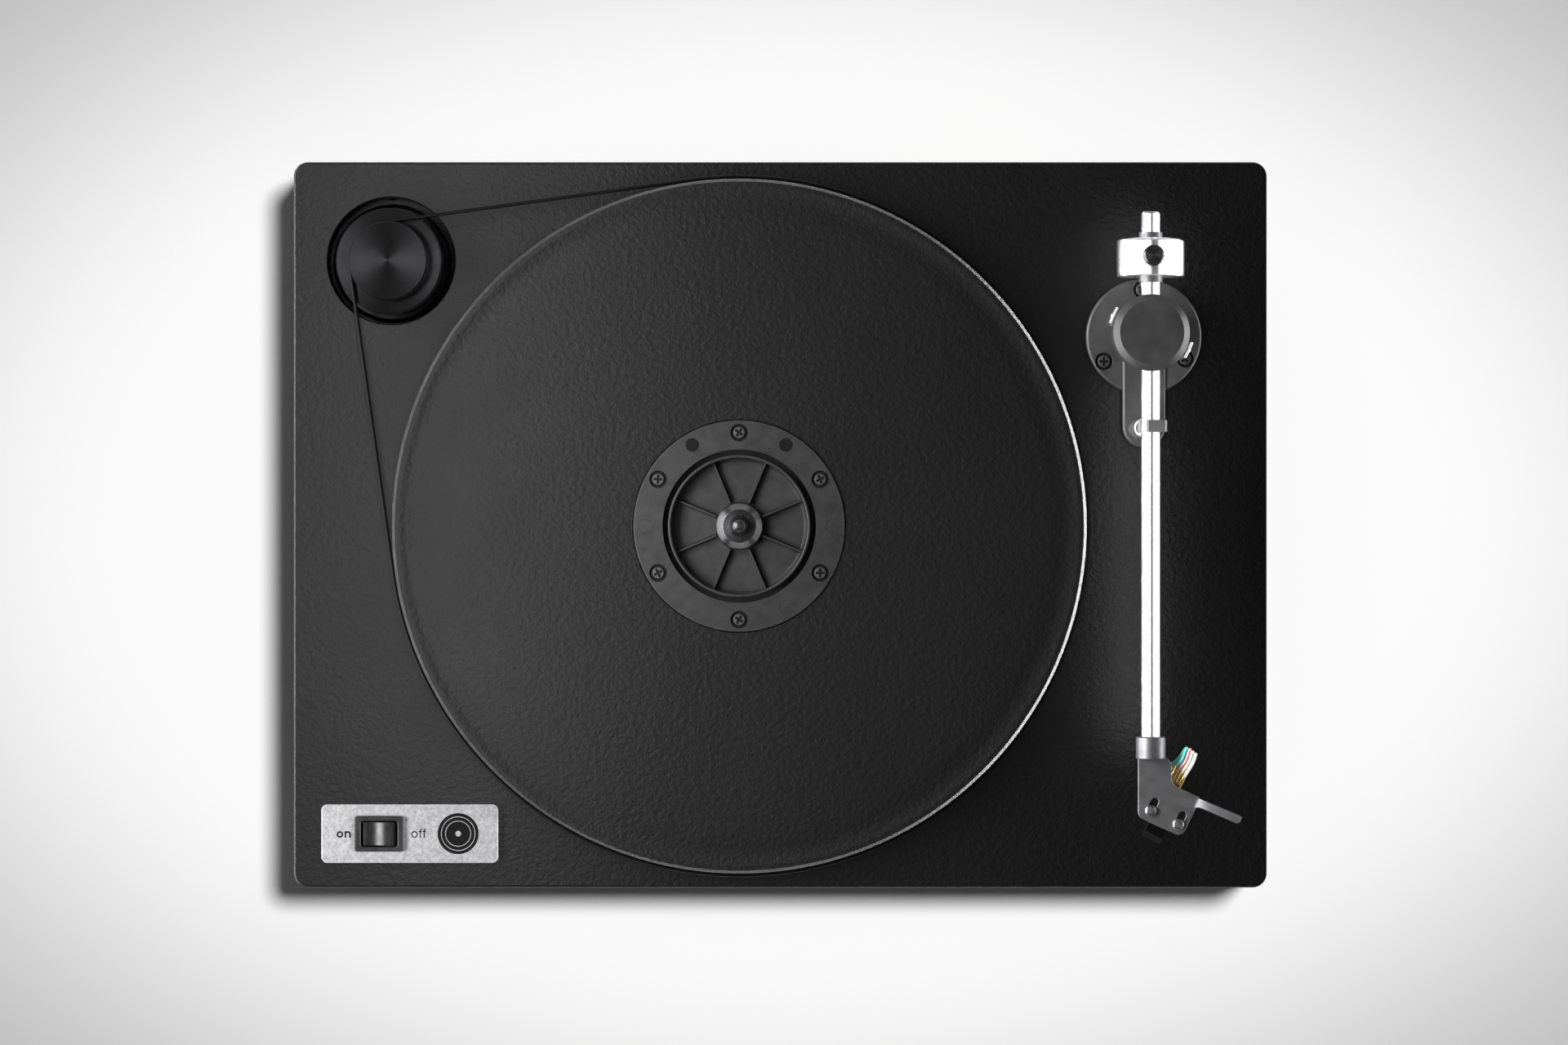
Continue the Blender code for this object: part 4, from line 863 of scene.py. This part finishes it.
def make_yoke():
    low, high, middle = spot("arm_post")
    post = [(0, high.z), (8.6, high.z, 0.3), (9, high.z - 0.5, 0.2), (9, high.z - 1.9),
            (6.1, high.z - 1.9), (6.1, low.z + 0.7, 0.2), (5.4, low.z), (0, low.z)]
    stands_for(lathe("yaw_post", post, plain_steel, (*middle.xy, 0), steps=64), "arm_post")
    inner, outer = 16.3, 17.7
    strip, ear = 74.5 - AXIS, 90.0 - AXIS
    outline = [(-outer, ear, 0.6), (-outer, strip, 1.4), (outer, strip, 1.4), (outer, ear, 0.6),
               (inner, ear, 0.5), (inner, strip + 1.4, 0.8), (-inner, strip + 1.4, 0.8),
               (-inner, ear, 0.5)]
    yoke = plate("yoke", rounded(outline, True), [], 7.2, bright, (*arm(0, 0), AXIS), (90, 0, YOKE_TURN),
                 edge=0.3, steps=2)
    hole = lathe("hole", rod(1.5, -20, 20), None, (*arm(0, 0), AXIS), (90, 0, YOKE_TURN - 90), 32)
    shape(yoke, hole)
    stands_for(yoke, "arm_yoke")
    pin = [(0, 4.6), (0.9, 4.6, 0.2), (1.2, 4.2, 0.1), (1.2, -4.6), (0, -4.6)]
    for index, side in ((1, 1), (2, -1)):
        at = (*around(side * 13.6, YOKE_TURN, arm(0, 0)), AXIS)
        piece = lathe("pin", pin, turned_steel, at, (0, side * 90, YOKE_TURN), 32)
        stands_for(piece, f"pivot_pin_{index}")


def make_arm():
    centre = (*arm(0, 0), AXIS)
    cap = [(0, 8.0), (13.3, 8.0, 0.5), (15.9, 5.6, 0.5), (16, 5.0, 0.3), (16, -6.4, 0.3),
           (15.4, -7, 0.3), (0, -7)]
    housing = lathe("cap", cap, cast_black, centre, steps=128)
    shape(housing, lathe("bore", rod(4.3, -30, 30), None, centre, (90, 0, 0), 64))
    for side in (1, -1):
        at = (*around(side * 13.7, YOKE_TURN, arm(0, 0)), AXIS)
        shape(housing, lathe("hole", rod(1.5, -5, 5), None, at, (90, 0, YOKE_TURN - 90), 32))
    stands_for(housing, "pivot_housing")

    profile = [(3.2, 50.3), (3.5, 50.3, 0.2), (4.0, 49.4, 0.5), (4.0, -174.6, 0.1),
               (3.2, -174.6), (3.2, 40.0)]
    stands_for(lathe("tube", profile, polished_tube, centre, ALONG, 96), "arm_tube", 30)


def make_headshell():
    """The headshell in one piece with its finger lift, and what hangs from it."""
    outline = [
        (-5.3, -174.0), (5.4, -174.0), (5.4, -176.0, 0.5), (7.6, -177.5, 0.6), (8.7, -179.4, 1.0),
        (8.7, -185.7, 1.5), (9.6, -187.8, 1.0), (12.7, -189.6, 1.5), (20.3, -193.1, 0.3),
        (18.3, -198.4, 1.6), (14.4, -206.5, 1.8), (13.2, -208.2, 1.4), (11.3, -208.7, 1.2),
        (1.7, -204.5, 2.0), (-3.7, -201.9, 1.6), (-4.8, -200.9, 1.2), (-5.3, -199.5, 1.2),
    ]
    slots = []
    half_spacing, travel = 6.35, 4.2
    for side in (-1, 1):
        near = Vector(cartridge(side * half_spacing, 0, 0)[:2]) - PIVOT.xy
        far = Vector(cartridge(side * half_spacing, travel, 0)[:2]) - PIVOT.xy
        heading = 90 - OFFSET
        slots.append(arc(1.5, heading - 90, heading + 90, 14, far)
                     + arc(1.5, heading + 90, heading + 270, 14, near))
    shell = plate("shell", rounded(outline, True, 4), slots, 2.4, grey_shell,
                  (PIVOT.x, PIVOT.y, AXIS - 0.3), edge=0.35, steps=3)
    collar = [(0, 4.7), (5.7, 4.7, 0.2), (6.15, 4.25, 0.2), (6.15, -4.25, 0.2), (5.7, -4.7, 0.2),
              (0, -4.7)]
    at = (*arm(0, -172.5), AXIS)
    shape(shell, lathe("collar", collar, None, at, ALONG, 96), operation="UNION")
    shape(shell, lathe("bore", rod(4.1, -5, 5), None, (*arm(0, -169.9), AXIS), ALONG, 64))
    # The finger lift leaves the plate with a flare and levels off towards its end.
    rows, points, faces = [], [], []
    stations = [
        (-10.5, -3.7, 1.75, -2.3), (-9.6, -3.5, 1.75, -2.0), (-8.6, -2.6, 1.75, -1.5),
        (-7.4, -2.0, 1.75, -0.9), (-5.8, -1.8, 1.75, -0.2), (-3.0, -1.75, 1.75, 0.6),
        (1.0, -1.75, 1.75, 1.3), (5.0, -1.75, 1.75, 1.8), (9.3, -1.75, 1.75, 2.2),
        (9.9, -1.4, 1.7, 2.25), (10.4, -0.8, 1.0, 2.3),
    ]
    for x, front, back, z in stations:
        rows.append(len(points))
        points += [
            (x, front, z - 0.35), (x, front, z + 0.35), (x, front + 0.3, z + 0.6),
            (x, back - 0.3, z + 0.6), (x, back, z + 0.35), (x, back, z - 0.35),
            (x, back - 0.3, z - 0.6), (x, front + 0.3, z - 0.6),
        ]
    for a, b in zip(rows, rows[1:]):
        for k in range(8):
            m = (k + 1) % 8
            faces += [(a + k, a + m, b + k), (a + m, b + m, b + k)]
    faces += [tuple(range(8)), tuple(range(rows[-1], rows[-1] + 8))]
    lift = new_piece("lift", points, faces, None, (*arm(27.4, -198.4), AXIS + 2.3), (0, 0, -23))
    shape(shell, lift, operation="UNION")
    stands_for(shell, "headshell")

    for index in (1, 2):
        low, high, middle = spot(f"cartridge_screw_{index}")
        profile = [(0, high.z), (1.5, high.z - 0.05), (2.2, high.z - 0.35, 0.4), (2.4, high.z - 0.8, 0.2),
                   (2.4, high.z - 1.6), (1.2, high.z - 1.6), (1.2, low.z), (0, low.z)]
        screw = lathe("screw", profile, turned_steel, (*middle.xy, 0), steps=48)
        bar = block("bar", (-1.75, -0.4, high.z - 0.9), (1.75, 0.4, high.z + 0.3))
        place(bar, (*middle.xy, high.z - 0.25), (0, 0, 35 if index == 1 else -50))
        shape(screw, bar)
        stands_for(screw, f"cartridge_screw_{index}")

    low, high, middle = spot("cartridge_body")
    body = plate("pickup", soft_box(16.6, 15.5, 1.0), [], high.z - low.z, gloss_black,
                 cartridge(0, 4.25, middle.z), (0, 0, -OFFSET), edge=0.5, steps=3)
    stands_for(body, "cartridge_body")
    profile = [(9, 69.4, 0.5), (9, 74.2, 0.5), (-4, 74.2, 0.5), (-4, 79.2, 0.5), (-8.6, 77, 0.8),
               (-11.1, 73.4, 0.8), (-11.1, 70.6, 0.8), (-6.5, 68.8, 0.6)]
    side = [(back, z - AXIS) for back, z in rounded(profile, True)]
    holder = plate("holder", side, [], 8.4, shadow_black, cartridge(0, 0, AXIS),
                   (90, 0, 90 - OFFSET), edge=0.4, steps=3)
    stands_for(holder, "stylus_holder")
    path = [cartridge(0, -2, 68), cartridge(0, -9, 67), cartridge(0, -9.5, 65.9)]
    stands_for(tube("needle", smooth_path(path), 0.3, plain_steel), "cantilever", None)


def make_leads():
    """Four leads from the cartridge's pins, folded back under themselves to the arm."""
    tints = {"teal": (0.12, 0.62, 0.58), "pink": (0.88, 0.42, 0.46), "cream": (0.85, 0.80, 0.62),
             "white": (0.92, 0.90, 0.88)}
    for index, (name, tint) in enumerate(tints.items()):
        across = -4.1 + 1.5 * index
        fold = 29.0 + (0.8, 0.9, 0.5, 0.2)[index]
        start, end = cartridge(across, 11.2, 79.8), cartridge(across, 21.4 - 0.9 * index, 81.9)
        points = [
            start, end, cartridge(across + 0.5, 25.0, 83.2), cartridge(across, fold - 0.6, 84.2),
            cartridge(across, fold, 83.4), cartridge(across - 0.3, fold - 1.0, 82.4),
            cartridge(across - 1.0, 24.0, 80.8 - 0.2 * index), cartridge(-7.4 + 0.6 * index, 20.0, 80.2),
            (*arm(3.6, -181.0 + 0.6 * index), 81.0),
        ]
        lead = tube(f"lead_{name}", smooth_path(points, 8), 0.72, insulation(f"lead_{name}", tint))
        if index == 0:
            stands_for(lead, "cartridge_leads", None)
        else:
            rides_with(lead, "cartridge_leads")
        rides_with(tube(f"lead_clip_{name}", [start, end], 0.8, gold), "cartridge_leads")


def make_counterweight():
    low, high, middle = spot("counterweight")
    half = (high.y - low.y) / 2
    at = (PIVOT.x, middle.y, AXIS)
    profile = [(5.2, half, 0.2), (9, half, 1.5), (12.4, half - 0.35, 1.0), (13.5, half - 0.8, 0.5),
               (14, half - 1.4, 0.5), (14, -half + 0.4, 0.2), (13.7, -half, 0.2), (5.2, -half, 0.2)]
    weight = lathe("weight", profile, bright, at, ALONG, 160)
    shape(weight, lathe("hole", rod(1.8, 88, 102), None, (PIVOT.x, middle.y, 0), steps=32))
    stands_for(weight, "counterweight", 30)
    reach = half + 2.4
    sleeve = [(4.3, reach), (4.9, reach, 0.2), (4.9, -reach, 0.2), (4.3, -reach)]
    stands_for(lathe("sleeve", sleeve, grey_shell, at, ALONG, 64), "counterweight_sleeve")
    low, high, middle = spot("thumb_screw")
    height = high.z - low.z
    profile = [(0, 0), (3.55, 0.0, 0.15), (4.3, -0.75, 0.2), (4.3, -1.2), (4.12, -1.4),
               (4.12, -4.2), (4.3, -4.4), (4.3, -5.2, 0.1), (3.7, -5.7), (1.5, -5.7),
               (1.5, -height), (0, -height)]
    knob = lathe("knob", profile, knob_black, (*middle.xy, high.z), steps=72)
    stands_for(knob, "thumb_screw", 30)


# ---- other nodes
def make_sockets():
    low, high, middle = spot("connector_panel")
    holes = [circle(3.4, (spot(name)[2].x - middle.x, spot(name)[2].z - middle.z), 40)
             for name in ("rca_jack_right", "rca_jack_left", "power_jack")]
    panel = plate("panel", soft_box(high.x - low.x, high.z - low.z, 1.0), holes, 1.5, case_black,
                  middle, (90, 0, 0), edge=0.2)
    stands_for(panel, "connector_panel")
    jack = [(0, 2.0), (1.7, 2.0), (1.7, 9.0), (3.9, 9.0, 0.2), (4.2, 8.6, 0.2), (4.2, 1.0),
            (5.6, 1.0, 0.2), (5.6, 0.3), (3.1, 0.3), (3.1, -3.6), (0, -3.6)]
    ring = [(1.8, 8.6), (3.3, 8.6, 0.2), (3.3, 9.0, 0.1), (1.8, 9.0, 0.2)]

    def mouth(name):
        return (spot(name)[2].x, high.y, spot(name)[2].z)

    tints = {"rca_jack_left": (0.72, 0.72, 0.70), "rca_jack_right": (0.45, 0.02, 0.02)}
    for name, tint in tints.items():
        at = mouth(name)
        stands_for(lathe("jack", jack, gold, at, ALONG, 64), name)
        sleeve = [(r, z + 0.05) for r, z in rounded(ring)]
        look = insulation(name + "_ring", tint)
        rides_with(smooth(lathe(name + "_ring", sleeve, look, at, ALONG, 48)), name)
    power = [(0, 7.4), (0.6, 7.3), (1, 6.9), (1, 0.8), (2.9, 0.8), (2.9, 8.6, 0.2), (4.6, 8.6, 0.3),
             (5.2, 8.0, 0.3), (5.2, 0.3), (3.1, 0.3), (3.1, -3.6), (0, -3.6)]
    stands_for(lathe("power", power, case_black, mouth("power_jack"), ALONG, 64), "power_jack")


def dress_cad_nodes():
    """Gives each CAD node that is shown as it is a material of its own."""
    board = Shade("board_green", (0.02, 0.11, 0.05), 0.4)
    board_green = board.finish((4.0, 0.25, 0.08), (0.8, 2.0), 0.01, 1.0)
    looks = [
        (case_black, "bottom_cover connector_cover"), (blackened, "motor_bracket"),
        (turned_steel, "bearing_housing motor_shaft"), (brass, "bearing_bush"),
        (bright, "thrust_ball"), (plain_steel, "bearing_nut"), (board_green, "connector_board"),
        (rubber("wire_black", 0.015, 0.5), "power_wiring"),
        (soft_rubber, "motor_grommet_1 motor_grommet_2 motor_grommet_3"),
    ]
    for look, names in looks:
        for name in names.split():
            node = frame["nodes"][name]
            node.data.materials.clear()
            node.data.materials.append(look)


# ---- stage
# Which pieces a studio light may shine on, by the start of their names.
GROUPS = {
    "rim": ("platter_detail",),
    "spindle": ("spindle",),
    "hub": ("platter_hub", "hub_screw", "spindle", "moulding_mark"),
    "drive": ("motor_",),
    "switch": ("switch_", "letter_", "record_sign"),
    "arm": ("arm_base", "arm_clip", "arm_post", "pivot_", "headshell", "cartridge_",
            "lead_", "thumb_screw", "counterweight_sleeve"),
    "metal": ("arm_tube", "counterweight_detail", "arm_rest_post", "arm_yoke"),
}
# Name (its group comes first), place, aim, reach along Y, reach across, and watts.
# The board's lights shine on the rim and on every piece that is in no group.
LIGHTS = [
    ("board_haze", (-156, 50, 360), (-156, 50, 0), 440, 70, 0.42),
    ("board_left", (-700, 0, 250), (-130, 0, 60), 1300, 120, 12.5),
    ("board_fill", (40, 0, 500), (40, 0, 0), 600, 150, 0.1),
    ("hub_left", (-300, 40, 420), (-17, 0, 60), 400, 200, 3.9),
    ("hub_haze", (-110, 40, 360), (-110, 40, 0), 440, 70, 0.1),
    ("drive_key", (-385, 140, 640), (-165, 111, 48), 240, 180, 0.7),
    ("drive_right", (90, 111, 420), (-165, 111, 50), 300, 200, 0.3),
    ("spindle_left", (-520, 0, 130), (-17, 0, 62), 900, 110, 1.3),
    ("spindle_right", (480, 0, 130), (-17, 0, 62), 900, 110, 0.55),
    ("spindle_back", (-17, 520, 130), (-17, 0, 62), 600, 110, 0.25),
    ("spindle_front", (-17, -520, 130), (-17, 0, 62), 600, 110, 0.28),
    ("arm_left", (-290, 0, 400), (154, 0, 60), 700, 220, 8.2),
    ("arm_over", (154, 0, 700), (154, 0, 60), 800, 200, 0.12),
    ("arm_right", (500, 0, 400), (154, 0, 60), 700, 250, 0.1),
    ("switch_left", (-600, -140, 500), (-160, -140, 40), 400, 300, 6.4),
    ("switch_right", (300, -140, 500), (-160, -140, 40), 400, 300, 4.9),
]
# White panels round the bright metal: place across, height and width.
PANELS = [(-60, 850, 330), (-420, 640, 520), (-600, 260, 420), (660, 640, 520), (880, 260, 420)]
LIGHTS += [(f"metal_{k + 1}", (x, 0, z), (154, 0, 86), 1800, across, 5.0)
           for k, (x, z, across) in enumerate(PANELS)]
# Low lights and lights under the floor. Only their own group blocks them.
UNDER = [
    ("rim_right", (640, -40, 10), (129, 0, 56), 1400, 120, 26.0),
    ("rim_back", (0, 640, 10), (0, 146, 56), 1000, 120, 2.0),
    ("rim_front", (0, -640, 10), (0, -146, 56), 1000, 120, 2.0),
    ("arm_low_left", (-450, 0, 60), (154, 0, 60), 700, 100, 4.0),
    ("arm_low_right", (700, 0, 60), (154, 0, 60), 700, 100, 4.0),
    ("metal_6", (-420, 0, -200), (154, 0, 86), 1800, 420, 5.0),
    ("metal_7", (760, 0, -160), (154, 0, 86), 1800, 420, 5.0),
]


def softbox(name, at, aim, along, across, power):
    """A rectangular lamp. along runs front to back, or left to right if it shines that way."""
    data = bpy.data.lights.new(name, "AREA")
    data.shape = "RECTANGLE"
    data.size, data.size_y = along * MM, across * MM
    data.energy = power
    light = bpy.data.objects.new(name, data)
    scene.collection.objects.link(light)
    light.location = mm(*at)
    back = (mm(*at) - mm(*aim)).normalized()
    side = Vector((0, 1, 0)) if abs(back.y) < 0.7 else Vector((1, 0, 0))
    side = (side - back * side.dot(back)).normalized()
    light.rotation_euler = Matrix((side, back.cross(side), back)).transposed().to_euler()
    light.visible_camera = False
    return light


def only_on(light, objects):
    """Lets a light shine on these objects alone."""
    group = bpy.data.collections.new(light.name + "_on")
    for thing in objects:
        group.objects.link(thing)
    light.light_linking.receiver_collection = group
    return group


def make_lights():
    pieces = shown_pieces()
    groups = {name: [thing for thing in pieces if thing.name.startswith(starts)]
              for name, starts in GROUPS.items()}
    others = [thing for name in GROUPS if name != "rim" for thing in groups[name]]
    groups["board"] = [thing for thing in pieces if thing not in others]
    for row in LIGHTS + UNDER:
        light = softbox(*row)
        lit = only_on(light, groups[row[0].split("_")[0]])
        if row in UNDER:
            light.light_linking.blocker_collection = lit
            light.data.cycles.use_multiple_importance_sampling = False
    low, high, middle = spot("arm_tube")
    glow = softbox("board_glow", (middle.x - 3, middle.y, AXIS - 6), (middle.x - 22, middle.y, 41),
                   high.y - low.y, 6, 0.016)
    only_on(glow, groups["board"])
    glow.parent = frame["bodies"]["arm"]
    glow.matrix_parent_inverse = glow.parent.matrix_world.inverted()


def make_stage():
    """The paper floor, the studio's light and the camera straight above."""
    corners = [(-9000, -9000, 0), (9000, -9000, 0), (9000, 9000, 0), (-9000, 9000, 0)]
    floor = new_piece("floor", corners, [(0, 1, 2, 3)], None, (0, 0, 0))
    shade = Shade("floor_paper", 0.86, 0.6, Specular_IOR_Level=0.2)
    # A painted pool of light: the paper's colour darkens away from the player, in an oval, as the light
    # would fall off.
    half_width, half_depth = 0.333, 0.222
    reach = shade("Mapping", shade.here, None, None, (1 / half_width, 1 / half_depth, 1.0))
    pool_distance = shade("VectorMath", reach, out="Value", operation="LENGTH")
    ramp = shade("MapRange", pool_distance, 0.82, 1.55, 0.0, 1.0, interpolation_type="SMOOTHSTEP")
    shade.set("Base Color", shade.mix(ramp, (0.88, 0.88, 0.88, 1.0), (0.46, 0.46, 0.46, 1.0)))
    shade.bump(shade.noise(1.0, 2.0), 0.01, 0.3)
    floor.data.materials.append(shade.material)
    floor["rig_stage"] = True

    world = bpy.data.worlds.new("studio")
    scene.world = world
    world.use_nodes = True
    nodes, links = world.node_tree.nodes, world.node_tree.links
    back = nodes["Background"]
    where, parts, ramp = (
        nodes.new("ShaderNode" + kind) for kind in ("TexCoord", "SeparateXYZ", "MapRange")
    )
    ramp.interpolation_type = "SMOOTHSTEP"
    links.new(where.outputs["Generated"], parts.inputs[0])
    links.new(parts.outputs["Z"], ramp.inputs["Value"])
    # The sky's strength falls from 0.35 near the horizon to 0.04 overhead.
    for socket, value in zip(list(ramp.inputs)[1:5], (0.10, 0.60, 0.35, 0.04)):
        socket.default_value = value
    links.new(ramp.outputs[0], back.inputs["Strength"])
    back.inputs["Color"].default_value = (1.0, 1.0, 1.0, 1.0)

    make_lights()
    sun = bpy.data.lights.new("floor_light", "SUN")
    sun.energy = 3.45
    sun.angle = math.radians(14)
    lamp = bpy.data.objects.new("floor_light", sun)
    scene.collection.objects.link(lamp)
    lamp.rotation_euler = Vector((-0.34, -0.25, -1.0)).to_track_quat("-Z", "Y").to_euler()
    only_on(lamp, [floor])

    camera = bpy.data.cameras.new("camera")
    camera.sensor_width = 36.0
    plinth_top, distance, width_seen = 41.0, 2200.0, 665.3
    camera.lens = camera.sensor_width * distance / width_seen
    camera.clip_start, camera.clip_end = 0.1, 30.0
    eye = bpy.data.objects.new("camera", camera)
    scene.collection.objects.link(eye)
    eye.location = mm(1.6, 1.0, plinth_top + distance)
    scene.camera = eye
    scene.view_settings.view_transform = "Standard"


make_plinth()
make_switch()
make_drive()
make_platter()
make_arm_base()
make_yoke()
make_arm()
make_headshell()
make_leads()
make_counterweight()
make_sockets()
dress_cad_nodes()
make_stage()
